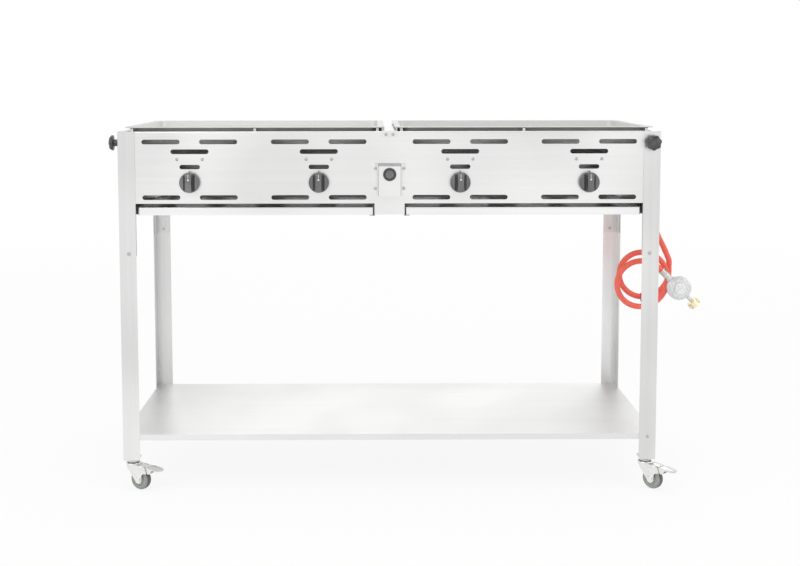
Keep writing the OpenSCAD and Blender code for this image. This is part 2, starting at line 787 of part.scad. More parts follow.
// Box over the igniter, folded from one sheet, with a screw flange on each side
module igniter_outline(t) {
    d = igniter_depth - t;
    polygon([[1, t], [-d, t], [-d, igniter_h - igniter_slope], [-1, igniter_h - t], [1, igniter_h - t]]);
}
module igniter_cover() {
    wing = igniter_w / 2 + igniter_flange;
    color(steel) difference() {
        union() {
            intersection() {
                translate([0, -panel_y, igniter_bottom])
                    along_x(-igniter_w / 2, igniter_w / 2) igniter_outline(0);
                translate([-wing, igniter_front - 1, igniter_bottom])
                    cube([2 * wing, igniter_depth + 1, igniter_h]);
            }
            translate([-wing, -panel_y - sheet_t, igniter_bottom]) cube([2 * wing, sheet_t, igniter_h]);
        }
        translate([0, -panel_y, igniter_bottom])
            along_x(-igniter_w / 2 + sheet_t, igniter_w / 2 - sheet_t) igniter_outline(sheet_t);
        translate([0, 0, button_z]) rod_y(neck_d + hole_fit, igniter_front - 1, -panel_y);
        for (s = [-1, 1], z = igniter_screw_z) translate([s * igniter_screw_x, 0, z])
            rod_y(screw_d + hole_fit, -panel_y - 5, -panel_y + 1);
    }
}
module igniter_body() {
    r = collar_d / 2;
    color(black) translate([0, 0, button_z]) difference() {
        union() {
            translate([0, igniter_front, 0]) rotate([90, 0, 0]) rotate_extrude()
                polygon([[0, 0], [r, 0], [r, collar_t - 1.5], [r - 1.5, collar_t], [0, collar_t]]);
            rod_y(neck_d, igniter_front - 1, igniter_back);
        }
        rod_y(button_d + 2 * run_fit, igniter_front - collar_t - 1, igniter_front + 12);
    }
}
module igniter_button() {
    front = igniter_front - collar_t - button_proud;
    color(black) translate([0, 0, button_z]) rod_y(button_d, front, igniter_front + 12 - button_travel - 1);
}
module spark_electrodes() {
    color(ceramic) for (x = station_x) translate([x + electrode_x, 0, electrode_z]) {
        rod_y(electrode_d, electrode_front, electrode_back);
        rod_y(2, electrode_back - 1, electrode_back + electrode_wire);
    }
}

// Leads from the igniter to the four electrodes, kept under the hangers; the outer two run in front
module ignition_leads() {
    for (i = [0 : 3]) {
        outer = i == 0 || i == 3;
        x = station_x[i] + electrode_x;
        out = (i < 2 ? -1 : 1) * (outer ? 7 : 3);
        z = electrode_z + lead_rise + (outer ? lead_step : 0);
        y = electrode_front;
        run_y = y - (outer ? 11 : 6);
        color(black) tube([[out, igniter_back, button_z], [out, igniter_back + lead_step, button_z],
            [out * 2, run_y, button_z + 10], [out * 3, run_y, z], [x, run_y, z],
            [x, run_y, electrode_z + lead_step], [x, y - 4, electrode_z], [x, y, electrode_z]], lead_d, 6);
    }
}

// Screw along +Y with its domed head in front of y = 0
module screw(length) {
    rotate([90, 0, 0]) rotate_extrude() polygon([[0, 0], [screw_head_d / 2, 0], [screw_head_d / 2, 0.8],
        [screw_head_d / 2 - 1.4, screw_head_h], [0, screw_head_h]]);
    rod_y(screw_d, -eps, length);
}
module leg_pin() {
    rotate([90, 0, 0]) rotate_extrude() polygon([[0, 0], [pin_d / 2 + 1, 0], [pin_d / 2, 1.2], [0, 1.2]]);
    rod_y(pin_d, -eps, post_offset + post_t);
}
module screws_and_pins() {
    color(zinc) {
        for (x = station_x, s = [-1, 1]) translate([x + s * station_screw_x, -panel_y, top_z - screw_row])
            screw(sheet_t + hanger_t + 2);
        for (s = [-1, 1], z = igniter_screw_z)
            translate([s * igniter_screw_x, -panel_y - sheet_t, z]) screw(6);
        for (r = [0, 180], s = [-1, 1]) rotate(r)
            translate([s * bridge_screw_x, -panel_y - sheet_t, bridge_screw_z]) screw(6);
        for (i = [0 : 3]) at_corner(i) {
            translate([0, leg_flange / 2, shelf_z - shelf_rim / 2]) rotate(-90) screw(leg_t + shelf_t + 2);
            translate([pin_inset, 0, pin_z]) leg_pin();
            translate([0, pin_inset, pin_z]) rotate(-90) leg_pin();
        }
    }
}

// Angle leg with a welded foot plate and the rivet that its caster swivels on
module leg() {
    plate_t = 3;
    plate = leg_flange - 4;
    difference() {
        union() {
            translate([0, 0, caster_h]) linear_extrude(top_z - caster_h) angle_profile(leg_flange, leg_t);
            translate([leg_t / 2, leg_t / 2, caster_h]) cube([plate, plate, plate_t]);
            translate([caster_inset, caster_inset, 0]) {
                rod_z(swivel_d, rivet_z, caster_h + plate_t + 1);
                rod_z(swivel_d + 6, rivet_z, rivet_z + rivet_head);
                rod_z(swivel_d + 4, caster_h + plate_t - eps, caster_h + plate_t + 2.5);
            }
        }
        foot_corners(leg_flange, leg_t, caster_h, leg_corner_r);
        translate([0, star_inset, star_z]) rod_x(star_stud_d + 1, -1, leg_t + 1);
        translate([pin_inset, 0, pin_z]) rod_y(pin_d + hole_fit, -1, leg_t + 1);
        translate([0, pin_inset, pin_z]) rod_x(pin_d + hole_fit, -1, leg_t + 1);
        translate([0, leg_flange / 2, shelf_z - shelf_rim / 2]) rod_x(screw_d + hole_fit, -1, leg_t + 1);
    }
}
module leg_at(i) {
    color(steel) at_corner(i) leg();
}

// Short posts behind the panels, which the legs are clamped to
module corner_posts() {
    nut_x = post_offset + post_t;
    color(steel) for (i = [0 : 3]) at_corner(i) difference() {
        union() {
            translate([post_offset, post_offset, post_z]) linear_extrude(post_top - post_z)
                angle_profile(post_flange, post_t);
            translate([0, star_inset, star_z]) hexagon(13, nut_x - eps, nut_x + weld_nut);
        }
        translate([post_offset, post_offset, 0]) foot_corners(post_flange, post_t, post_z, 8);
        translate([0, star_inset, star_z]) rod_x(star_stud_d + 2 * run_fit, 0, nut_x + weld_nut + 1);
        translate([pin_inset, 0, pin_z]) rod_y(pin_d + hole_fit, 0, post_offset + post_t + 1);
        translate([0, pin_inset, pin_z]) rod_x(pin_d + hole_fit, 0, post_offset + post_t + 1);
    }
}

// Star knob along -X: a neck, a lobed head with rounded edges and a stud through the leg
module star_lobe_outline() {
    lobe_r = star_d * 0.15;
    circle(r = star_d / 2 - lobe_r);
    for (k = [0 : star_lobes - 1]) rotate(360 * k / star_lobes)
        translate([star_d / 2 - lobe_r, 0]) circle(lobe_r);
}
module star_round() {
    r = 3;
    square([star_d / 2 - r, star_head]);
    translate([0, r]) square([star_d / 2, star_head - 2 * r]);
    for (z = [r, star_head - r]) translate([star_d / 2 - r, z]) circle(r);
}
module star_knob(i) {
    nut_x = post_offset + post_t;
    color(black) at_corner(i) translate([0, star_inset, star_z]) {
        translate([-star_neck, 0, 0]) rotate([0, -90, 0]) intersection() {
            linear_extrude(star_head) star_lobe_outline();
            rotate_extrude() star_round();
        }
        rod_x(16, -star_neck - 1, -seat_gap);
        rod_x(star_stud_d, -star_neck, nut_x + weld_nut + 2);
    }
}

// Shelf: a sheet with its four edges folded down
module bottom_shelf() {
    w = 2 * panel_x;
    d = 2 * panel_y;
    color(steel) difference() {
        translate([0, 0, shelf_z - shelf_rim]) linear_extrude(shelf_rim) rounded_rect(w, d, 3);
        translate([0, 0, shelf_z - shelf_rim - 1]) linear_extrude(shelf_rim + 1 - shelf_t)
            rounded_rect(w - 2 * shelf_t, d - 2 * shelf_t, 3 - shelf_t);
        for (i = [0 : 3]) at_corner(i) translate([0, leg_flange / 2, shelf_z - shelf_rim / 2])
            rod_x(screw_d + hole_fit, 0, leg_t + shelf_t + 1);
    }
}

// Elbow on the gas inlet, turning down to the hose nut and its ferrule
module inlet_elbow() {
    drop = pipe_z - hose_exit.z;
    color(brass) translate([0, inlet_y, pipe_z]) difference() {
        union() {
            hexagon(24, leg_x + 0.5, leg_x + 12);
            rod_x(17, leg_x + 11, elbow_x);
            translate([elbow_x, 0, 0]) {
                sphere(d = 20);
                rod_z(16, -drop + 30, 0);
                translate([0, 0, -drop + 24]) cylinder(d = 22 / cos(30), h = 12, $fn = 6);
                rod_z(hose_d + 3.5, -drop, -drop + 25);
            }
        }
        rod_x(pipe_d + 2 * run_fit, leg_x, pipe_end_x + 0.5);
    }
}
module gas_hose() {
    color(hose_red) tube(lead_points, hose_d, 8);
}
module gas_hose_coil() {
    color(hose_red) tube(coil_path(coil_rings), hose_d, 6);
}

// Tie around both turns at the bottom of the coil, where they lie one before the other
tie_shares = [0.14, 0.659];
tie_a = coil_point(tie_shares[0]);
tie_b = coil_point(tie_shares[1]);
tie_mid = (tie_a + tie_b) / 2;
tie_span = norm([tie_b.y - tie_a.y, tie_b.z - tie_a.z]);
tie_tilt = atan2(tie_b.z - tie_a.z, tie_b.y - tie_a.y);
module hose_tie() {
    inner = hose_d + 2.6;
    color(black) translate([0, tie_mid.y, tie_mid.z]) rotate([tie_tilt, 0, 0])
        along_x(tie_mid.x - 2.5, tie_mid.x + 2.5) difference() {
            slot(tie_span + inner + 3, inner + 3);
            slot(tie_span + inner, inner);
        }
}

// Regulator, turned so that its own X axis runs from the hose to the cylinder nut
module at_regulator() {
    translate([reg_c.x, reg_y, reg_c.y]) rotate([0, 45, 0]) children();
}
module regulator_profile() {
    r = reg_d / 2;
    square([r - 4, 24]);
    translate([0, 4]) square([r, 16]);
    for (z = [4, 20]) translate([r - 4, z]) circle(4);
    square([13.5, 30]);
}
module regulator_body() {
    r = reg_d / 2;
    nut_x0 = r + 17;
    color(aluminium) at_regulator() {
        translate([0, reg_back, 0]) rotate([90, 0, 0]) rotate_extrude() regulator_profile();
        rod_x(hose_d + 3, -reg_barb, -r + 2);
        rod_x(9, r - 3, nut_x0 + nut_l - 4);
        rod_x(15, nut_x0 + nut_l - 9, nut_x0 + nut_l - 5);
    }
}
module regulator_nut() {
    nut_x0 = reg_d / 2 + 17;
    color(brass) at_regulator() difference() {
        union() {
            rod_x(nut_d, nut_x0, nut_x0 + nut_l);
            for (k = [0 : 11]) rotate([30 * k, 0, 0]) translate([0, 0, nut_d / 2 - 0.5])
                rod_x(3.5, nut_x0 + 2, nut_x0 + nut_l - 2);
        }
        rod_x(9 + 2 * run_fit, nut_x0 - 1, nut_x0 + nut_l);
        rod_x(21, nut_x0 + nut_l - 10, nut_x0 + nut_l + 1);
    }
}

// Caster pieces, with the swivel axis on Z and the wheel trailing along +X
module at_caster(i) {
    sx = [-1, 1, 1, -1][i];
    sy = [-1, -1, 1, 1][i];
    translate([sx * (leg_x - caster_inset), sy * (leg_y - caster_inset), 0])
        rotate(caster_yaw[i]) children();
}
function tangent_point(p, c, r, side) = let (d = p - c, a = atan2(d.y, d.x), b = acos(r / norm(d)))
    c + r * [cos(a + side * b), sin(a + side * b)];
module cheek_outline() {
    c = [trail, axle_z];
    front = [pin_x + 6, pedal_pin_z - 4];
    back = [-12, crown_z - 4];
    polygon([[-12, crown_z + 1], [pin_x + 6, crown_z + 1], front,
        tangent_point(front, c, axle_end_r, -1), tangent_point(back, c, axle_end_r, 1), back]);
    translate(c) circle(axle_end_r);
}
module crown_profile() {
    h = caster_h - seat_gap - crown_z;
    r = crown_d / 2;
    square([r, 3]);
    square([r - 3, h]);
    translate([0, 3]) intersection() {
        square([r, 3]);
        translate([r - 3, 0]) circle(3);
    }
}
module caster_fork(i) {
    color(zinc) at_caster(i) {
        difference() {
            union() {
                translate([0, 0, crown_z]) rotate_extrude() crown_profile();
                translate([-12, -cheek_out, crown_z]) cube([pin_x + 3, 2 * cheek_out, crown_plate]);
                along_y(cheek_in, cheek_out) cheek_outline();
                along_y(-cheek_out, -cheek_in) cheek_outline();
            }
            rod_z(swivel_d + 2 * run_fit, crown_z - 1, caster_h);
            translate([trail, 0, axle_z]) rod_y(axle_d + 2 * run_fit, -cheek_out - 1, cheek_out + 1);
            translate([pin_x, 0, pedal_pin_z])
                rod_y(pedal_pin_d + 2 * run_fit, -cheek_out - 1, cheek_out + 1);
        }
        translate([trail, 0, axle_z]) {
            rod_y(axle_d, -cheek_out - 1, cheek_out + 1);
            for (s = [0, 180]) rotate(s) translate([0, cheek_out + run_fit, 0]) rotate([-90, 0, 0])
                cylinder(d = axle_d + 7, h = 4, $fn = 6);
        }
        translate([pin_x, 0, pedal_pin_z]) {
            rod_y(pedal_pin_d, -cheek_out - 1, cheek_out + 1);
            for (s = [0, 180]) rotate(s) rod_y(pedal_pin_d + 3, cheek_out + run_fit, cheek_out + 1.6);
        }
    }
}

// Wheel: a crowned rubber tread on a narrower hub
module wheel_section() {
    r = wheel_d / 2;
    h = wheel_w / 2;
    bore = axle_d / 2 + run_fit;
    polygon([[bore, -h - 0.6], [9, -h - 0.6], [9, -h + 2], [15, -h + 2], [17, -h], [r - 4, -h],
        [r - 1, -h + 2.5], [r, -h / 3], [r, h / 3], [r - 1, h - 2.5], [r - 4, h], [17, h], [15, h - 2],
        [9, h - 2], [9, h + 0.6], [bore, h + 0.6]]);
}
module caster_wheel(i) {
    color(grey_rubber) at_caster(i) translate([trail, 0, axle_z])
        rotate([90, 0, 0]) rotate_extrude() wheel_section();
}

// Brake pedal: a plate on a pin between the cheeks, with two lugs and a shoe over the wheel
module pedal_plan() {
    tip_r = pedal_w / 2;
    root = cheek_in - 0.5;
    tip_x = pedal_reach - pin_x - tip_r;
    translate([-6, -root]) square([20, 2 * root]);
    polygon([[13, -root], [24, -tip_r], [tip_x, -tip_r], [tip_x, tip_r], [24, tip_r], [13, root]]);
    translate([tip_x, 0]) circle(tip_r);
}
module pedal_lug() {
    difference() {
        union() {
            circle(4.5);
            translate([-4.5, 0]) square([9, 4.5]);
        }
        circle(d = pedal_pin_d + 2 * run_fit);
    }
}
module caster_brake(i) {
    root = cheek_in - 0.5;
    color(zinc) at_caster(i) translate([pin_x, 0, pedal_pin_z]) {
        translate([0, 0, 3.5]) rotate([0, -pedal_slope, 0]) linear_extrude(pedal_t) pedal_plan();
        along_y(root - 2, root) pedal_lug();
        along_y(-root, -root + 2) pedal_lug();
        translate([shoe_x, -root + 0.5, -shoe_drop]) cube([pedal_t, 2 * root - 1, shoe_drop + 5.5]);
    }
}

front_panel();
rear_panel();
left_side_panel();
right_side_panel();
centre_bridge();
tray_runners();
drip_tray(-1);  // drip_tray_left
drip_tray(1);  // drip_tray_right
griddle_pan(-1);  // griddle_pan_left
griddle_pan(1);  // griddle_pan_right
pan_studs();
burner(0);  // burner_1
burner(1);  // burner_2
burner(2);  // burner_3
burner(3);  // burner_4
burner_brackets();
gas_manifold();
gas_valves();
valve_stem(0);  // valve_stem_1
valve_stem(1);  // valve_stem_2
valve_stem(2);  // valve_stem_3
valve_stem(3);  // valve_stem_4
burner_knob(0);  // burner_knob_1
burner_knob(1);  // burner_knob_2
burner_knob(2);  // burner_knob_3
burner_knob(3);  // burner_knob_4
igniter_cover();
igniter_body();
igniter_button();
spark_electrodes();
ignition_leads();
screws_and_pins();
leg_at(0);  // leg_front_left
leg_at(1);  // leg_front_right
leg_at(2);  // leg_rear_right
leg_at(3);  // leg_rear_left
corner_posts();
star_knob(0);  // star_knob_front_left
star_knob(1);  // star_knob_front_right
star_knob(2);  // star_knob_rear_right
star_knob(3);  // star_knob_rear_left
bottom_shelf();
inlet_elbow();
gas_hose();
gas_hose_coil();
hose_tie();
regulator_body();
regulator_nut();
caster_fork(0);  // caster_fork_front_left
caster_fork(1);  // caster_fork_front_right
caster_fork(2);  // caster_fork_rear_right
caster_fork(3);  // caster_fork_rear_left
caster_wheel(0);  // caster_wheel_front_left
caster_wheel(1);  // caster_wheel_front_right
caster_wheel(2);  // caster_wheel_rear_right
caster_wheel(3);  // caster_wheel_rear_left
caster_brake(0);  // caster_brake_front_left
caster_brake(1);  // caster_brake_front_right
caster_brake(2);  // caster_brake_rear_right
caster_brake(3);  // caster_brake_rear_left
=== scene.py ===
import json
import math

import bmesh
import bpy
from mathutils import Matrix, Vector


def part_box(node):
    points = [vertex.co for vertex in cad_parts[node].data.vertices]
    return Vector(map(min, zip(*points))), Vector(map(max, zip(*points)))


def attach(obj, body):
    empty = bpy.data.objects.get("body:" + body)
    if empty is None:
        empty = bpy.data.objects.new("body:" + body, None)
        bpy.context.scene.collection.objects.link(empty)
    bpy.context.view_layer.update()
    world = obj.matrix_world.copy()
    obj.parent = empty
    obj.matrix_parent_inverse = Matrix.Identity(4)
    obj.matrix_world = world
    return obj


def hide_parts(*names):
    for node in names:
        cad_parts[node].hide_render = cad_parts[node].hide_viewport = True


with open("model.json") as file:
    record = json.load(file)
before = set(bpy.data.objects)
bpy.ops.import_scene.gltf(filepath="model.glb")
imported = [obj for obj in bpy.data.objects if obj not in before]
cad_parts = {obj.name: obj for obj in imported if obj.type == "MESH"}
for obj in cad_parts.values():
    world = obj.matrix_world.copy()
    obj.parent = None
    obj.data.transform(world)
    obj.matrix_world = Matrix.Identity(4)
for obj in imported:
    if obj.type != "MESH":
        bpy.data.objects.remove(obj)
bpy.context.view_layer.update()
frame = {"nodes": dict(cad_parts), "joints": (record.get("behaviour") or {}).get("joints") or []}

# The camera
# It stands three metres in front of the grill, a little left of its middle and just above its pans.
# Much of the downward framing is lens shift, as in the photo, and the rest is tilt.
photo_w = 800
focal_px = 1212
lens_drop = 0.126
lens_side_px = 20.5
camera_centre = (-0.041, -3.080, 0.985)
tilt, yaw, roll = math.radians(4.93), math.radians(-0.35), math.radians(-0.07)


def in_scene(name, data):
    """Puts a camera, lamp, mesh or curve in the scene"""
    made = bpy.data.objects.new(name, data)
    bpy.context.collection.objects.link(made)
    return made


camera_data = bpy.data.cameras.new("camera")
camera_data.sensor_width = 36
camera_data.lens = camera_data.sensor_width * focal_px / photo_w
camera_data.shift_x = lens_side_px / photo_w
camera_data.shift_y = -lens_drop
camera = in_scene("camera", camera_data)
camera.matrix_world = (
    Matrix.Translation(camera_centre)
    @ Matrix.Rotation(yaw, 4, "Z")
    @ Matrix.Rotation(math.pi / 2 - tilt, 4, "X")
    @ Matrix.Rotation(roll, 4, "Z")
)
bpy.context.scene.camera = camera
bpy.context.scene.view_settings.view_transform = "Standard"

# The studio
# A white floor that runs into a white surround, as in a product photograph.
# Soft boxes stand left, right, behind and overhead with one small key, and the floor keeps a faint shadow.
floor_half = 40
floor_near, floor_far = 1.2, 5.0


def mesh_of(name, shape):
    """Makes a mesh of a shape"""
    mesh = bpy.data.meshes.new(name)
    shape.to_mesh(mesh)
    return mesh


def new_finish(name, roughness=0.5, metallic=0.0):
    """An empty finish: its material, its node tree and its shader"""
    finish = bpy.data.materials.new(name)
    finish.use_nodes = True
    shader = finish.node_tree.nodes["Principled BSDF"]
    shader.inputs["Roughness"].default_value = roughness
    shader.inputs["Metallic"].default_value = metallic
    return finish, finish.node_tree, shader


def wired(tree, sockets, **sources):
    """Links each source to the socket of its name, or sets the socket where the source is a value"""
    for label, source in sources.items():
        socket = sockets[label.replace("_", " ")]
        if isinstance(source, (int, float, tuple)):
            socket.default_value = source
        else:
            tree.links.new(source, socket)


def spread(tree, mask, low, high, start=0.0, end=1.0):
    """Maps a mask from start and end to low and high, and keeps it between them"""
    node = tree.nodes.new("ShaderNodeMapRange")
    wired(tree, node.inputs, Value=mask, From_Min=start, From_Max=end, To_Min=low, To_Max=high)
    return node.outputs[0]


def seen_white(tree, shader_output, share, far=0.0):
    """Mixes plain white into what the camera and reflections see, all of it beyond a distance"""
    path = tree.nodes.new("ShaderNodeLightPath")
    seen = path.outputs["Is Camera Ray"]
    for ray in ("Is Glossy Ray", "Is Transmission Ray"):
        either = tree.nodes.new("ShaderNodeMath")
        either.operation = "MAXIMUM"
        tree.links.new(seen, either.inputs[0])
        tree.links.new(path.outputs[ray], either.inputs[1])
        seen = either.outputs[0]
    amount = tree.nodes.new("ShaderNodeMath")
    amount.operation = "MULTIPLY"
    amount.inputs[1].default_value = share
    tree.links.new(seen, amount.inputs[0])
    # Beyond a distance all of it is white, so that the floor runs into the surround
    if far:
        place = tree.nodes.new("ShaderNodeNewGeometry")
        distance = tree.nodes.new("ShaderNodeVectorMath")
        distance.operation = "LENGTH"
        tree.links.new(place.outputs["Position"], distance.inputs[0])
        whitened = spread(tree, distance.outputs["Value"], share, 1.0, floor_near, far)
        tree.links.new(whitened, amount.inputs[1])
    mix = tree.nodes.new("ShaderNodeMixShader")
    tree.links.new(amount.outputs[0], mix.inputs["Fac"])
    tree.links.new(shader_output, mix.inputs[1])
    tree.links.new(tree.nodes.new("ShaderNodeEmission").outputs[0], mix.inputs[2])
    return mix.outputs[0]


floor_shape = bmesh.new()
bmesh.ops.create_grid(floor_shape, x_segments=1, y_segments=1, size=floor_half)
floor_mesh = mesh_of("studio_floor", floor_shape)
studio_floor = in_scene("studio_floor", floor_mesh)
floor_paint, floor_tree, floor_shader = new_finish("floor_paint", 0.9)
floor_shader.inputs["Base Color"].default_value = (0.93, 0.93, 0.93, 1)
floor_tree.links.new(
    seen_white(floor_tree, floor_shader.outputs[0], 0.85, floor_far),
    floor_tree.nodes["Material Output"].inputs["Surface"],
)
floor_mesh.materials.append(floor_paint)

room = bpy.data.worlds.new("studio_room")
bpy.context.scene.world = room
room.use_nodes = True
room_tree = room.node_tree
room_shader = room_tree.nodes["Background"]
room_shader.inputs["Color"].default_value = (1, 1, 1, 1)
room_shader.inputs["Strength"].default_value = 0.62
room_tree.links.new(
    seen_white(room_tree, room_shader.outputs[0], 1.0),
    room_tree.nodes["World Output"].inputs["Surface"],
)
# The surround is white up to eye level and falls off towards the ceiling
room_place = room_tree.nodes.new("ShaderNodeTexCoord")
room_axes = room_tree.nodes.new("ShaderNodeSeparateXYZ")
room_tree.links.new(room_place.outputs["Generated"], room_axes.inputs[0])
room_fall = spread(room_tree, room_axes.outputs["Z"], 1.0, 0.45, 0.12, 0.65)
room_tree.links.new(room_fall, room_tree.nodes["Emission"].inputs["Strength"])


def soft_box(name, place, width, height, watts):
    """A large soft lamp that faces the middle of the grill"""
    lamp = bpy.data.lights.new(name, "AREA")
    lamp.shape = "RECTANGLE"
    lamp.size, lamp.size_y = width, height
    lamp.energy = watts
    light = in_scene(name, lamp)
    light.location = place
    light.rotation_euler = (Vector((0, 0, 0.5)) - Vector(place)).to_track_quat("-Z", "Y").to_euler()


soft_box("soft_box_left", (-3.6, -3.0, 2.8), 3.0, 2.4, 34)
soft_box("soft_box_key", (-1.5, -3.0, 2.9), 0.5, 0.5, 13)
soft_box("soft_box_right", (3.8, -2.6, 2.4), 3.0, 2.4, 30)
soft_box("soft_box_rear", (0.6, 3.8, 2.6), 4.0, 2.0, 26)
soft_box("soft_box_top", (0.2, -0.4, 3.6), 3.6, 2.4, 34)

# The gas hose
# An orange-red rubber hose, 14 mm thick, that drops from the inlet elbow behind the right leg.
# It is wound nearly twice round and ends in the regulator, and a tie keeps its turns together.
hose_d = 0.014
hose_exit = Vector((0.660, -0.093, 0.656))
hose_route = [
    (0, 0, 0), (0, 0, -0.016), (0.002, 0, -0.040), (0.010, 0, -0.064), (0.022, 0, -0.088),
    (0.033, 0, -0.112), (0.038, 0, -0.126), (0.038, 0, -0.140),
]
coil_start = hose_exit + Vector(hose_route[-1])
coil_r = 0.061
coil_sweep = math.radians(675)
coil_advance = 0.040
coil_tail = 0.022
coil_steps = 60
up_right = Vector((math.cos(math.pi / 4), 0, math.sin(math.pi / 4)))
down_right = Vector((math.cos(math.pi / 4), 0, -math.sin(math.pi / 4)))
coil_centre = coil_start + Vector((-coil_r, 0, -hose_d))
regulator_centre = coil_centre + Vector((0.076, -coil_advance, -0.033))
regulator_barb = 0.046
last_centre = regulator_centre - down_right * (regulator_barb + coil_tail) - coil_r * up_right


def coil_point(share):
    """A point on the coil, from 0 at its start to 1 where it runs out to the regulator"""
    turn = coil_sweep * share
    centre = coil_centre.lerp(last_centre, share * share * (3 - 2 * share))
    return centre + coil_r * Vector((math.cos(turn), 0, -math.sin(turn)))


def round_line(name, radius, facets):
    """An empty curve that is drawn round and as thick as its radius says"""
    line = bpy.data.curves.new(name, "CURVE")
    line.dimensions = "3D"
    line.bevel_depth = radius
    line.bevel_resolution = facets
    return line


def new_group(name, numbers, results):
    """An empty node group: itself, its place on the piece, its numbers and its results"""
    group = bpy.data.node_groups.new(name, "ShaderNodeTree")
    for label, value in numbers.items():
        kind = "NodeSocketVector" if isinstance(value, tuple) else "NodeSocketFloat"
        group.interface.new_socket(label, in_out="INPUT", socket_type=kind).default_value = value
    for label in results:
        kind = "NodeSocketVector" if label == "Normal" else "NodeSocketFloat"
        group.interface.new_socket(label, in_out="OUTPUT", socket_type=kind)
    place = group.nodes.new("ShaderNodeTexCoord").outputs["Object"]
    given = group.nodes.new("NodeGroupInput").outputs
    made = group.nodes.new("NodeGroupOutput").inputs
    return group, place, given, made


def noise_in(group, place, scale, detail, distortion=0.0):
    """Noise over a place, with a scale that is a number or a socket"""
    noise = group.nodes.new("ShaderNodeTexNoise")
    wired(group, noise.inputs, Vector=place, Scale=scale, Detail=detail, Distortion=distortion)
    return noise.outputs[0]


def bump_in(group, height, depth, distance):
    """The normal of a bump that rises with a height"""
    bump = group.nodes.new("ShaderNodeBump")
    wired(group, bump.inputs, Height=height, Strength=depth, Distance=distance)
    return bump.outputs[0]


def placed(tree, group, **values):
    """Puts a node group into a material with its own values, and gives its results"""
    node = tree.nodes.new("ShaderNodeGroup")
    node.node_tree = group
    wired(tree, node.inputs, **values)
    return node.outputs


def two_tone(tree, mask, first, second):
    """Mixes two colours by a mask, each written out or from another node"""
    node = tree.nodes.new("ShaderNodeMix")
    node.data_type = "RGBA"
    under, over = [(*colour, 1) if isinstance(colour, tuple) else colour for colour in (first, second)]
    wired(tree, node.inputs, Factor=mask, A=under, B=over)
    return node.outputs["Result"]


# Moulded skin: fine pits and slow waves, as on rubber and plastic that comes out of a mould
moulded_skin, skin_place, skin_given, skin_made = new_group(
    "moulded_skin", {"Pit Scale": 900.0, "Wave Scale": 12.0, "Depth": 0.2}, ("Waves", "Normal")
)
skin_pits = noise_in(moulded_skin, skin_place, skin_given["Pit Scale"], 2)
skin_waves = noise_in(moulded_skin, skin_place, skin_given["Wave Scale"], 3)
skin_normal = bump_in(moulded_skin, skin_pits, skin_given["Depth"], 0.0003)
wired(moulded_skin, skin_made, Waves=skin_waves, Normal=skin_normal)


def moulded(name, base, wear_and_sheen, roughness, pits=900.0, depth=0.2, waves=12.0):
    """Rubber or plastic with a moulded skin, slightly uneven in colour and gloss; on the star knobs its
    lighter tone is painted highlights
    """
    finish, tree, shader = new_finish(name)
    skin = placed(tree, moulded_skin, Pit_Scale=pits, Wave_Scale=waves, Depth=depth)
    uneven = spread(tree, skin["Waves"], 0, 1, 0.35, 0.7)
    gloss = spread(tree, skin["Waves"], roughness - 0.06, roughness + 0.08, 0.3, 0.7)
    colour = two_tone(tree, uneven, base, wear_and_sheen)
    wired(tree, shader.inputs, Base_Color=colour, Roughness=gloss, Normal=skin["Normal"])
    return finish


hose_rubber = moulded("hose_rubber", (1.0, 0.165, 0.115), (0.97, 0.130, 0.085), 0.34, 700, 0.12)
hose_points = [hose_exit + Vector(p) for p in hose_route]
hose_points += [coil_point(i / coil_steps) for i in range(coil_steps + 1)]
hose_points.append(regulator_centre - regulator_barb * down_right)
hose_line = round_line("gas_hose_line", hose_d / 2, 7)
hose_line.resolution_u = 6
hose_line.use_fill_caps = True
hose_line.materials.append(hose_rubber)
hose_spline = hose_line.splines.new("BEZIER")
hose_spline.bezier_points.add(len(hose_points) - 1)
for knot, point in zip(hose_spline.bezier_points, hose_points):
    knot.co = point
    knot.handle_left_type = knot.handle_right_type = "AUTO"
hose = in_scene("gas_hose_wound", hose_line)
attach(hose, "root")
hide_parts("gas_hose", "gas_hose_coil")

# Sleeves on the hose ends
# A pressed steel sleeve grips the hose at the elbow and at the regulator, and each has three crimps.
# They are turned, zinc plated and squeezed onto the hose.
sleeve_l = 0.022
sleeve_r = hose_d / 2 + 0.0022
crimp_r = hose_d / 2 + 0.0008
crimp_half, crimp_flat = 0.0022, 0.0008
sleeve_over_elbow = 0.003
sleeve_over_barb = 0.015


def turned(profile, steps=48, ring=False):
    """A shape turned about Z from (radius, height) points, which close into a ring if asked"""
    shape = bmesh.new()
    points = [shape.verts.new((radius, 0, height)) for radius, height in profile]
    if ring:
        points.append(shape.verts.new((profile[0][0], 0, profile[0][1])))
    for pair in zip(points, points[1:]):
        shape.edges.new(pair)
    bmesh.ops.spin(
        shape, geom=shape.verts[:] + shape.edges[:], axis=(0, 0, 1), cent=(0, 0, 0),
        angle=math.tau, steps=steps, use_merge=True,
    )
    bmesh.ops.remove_doubles(shape, verts=shape.verts, dist=1e-7)
    bmesh.ops.recalc_face_normals(shape, faces=shape.faces)
    return shape


def joined(*shapes, place=Matrix()):
    """Several shapes as one, moved to a place, each given with or without its own place in the whole"""
    whole = bmesh.new()
    for shape in shapes:
        shape, own = shape if isinstance(shape, tuple) else (shape, Matrix())
        part = mesh_of("part", shape)
        part.transform(place @ own)
        whole.from_mesh(part)
        bpy.data.meshes.remove(part)
    return whole


def piece(name, shape, finish, body, crease=35):
    """Makes a shape a piece that rides on a body, smooth but for its sharp edges"""
    mesh = mesh_of(name, shape)
    mesh.materials.append(finish)
    mesh.shade_smooth()
    mesh.set_sharp_from_angle(angle=math.radians(crease))
    made = in_scene(name, mesh)
    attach(made, body)
    return made


def dress(finish, *nodes):
    """Gives built nodes their finish"""
    for node in nodes:
        for used in frame["nodes"][node].material_slots:
            used.material = finish


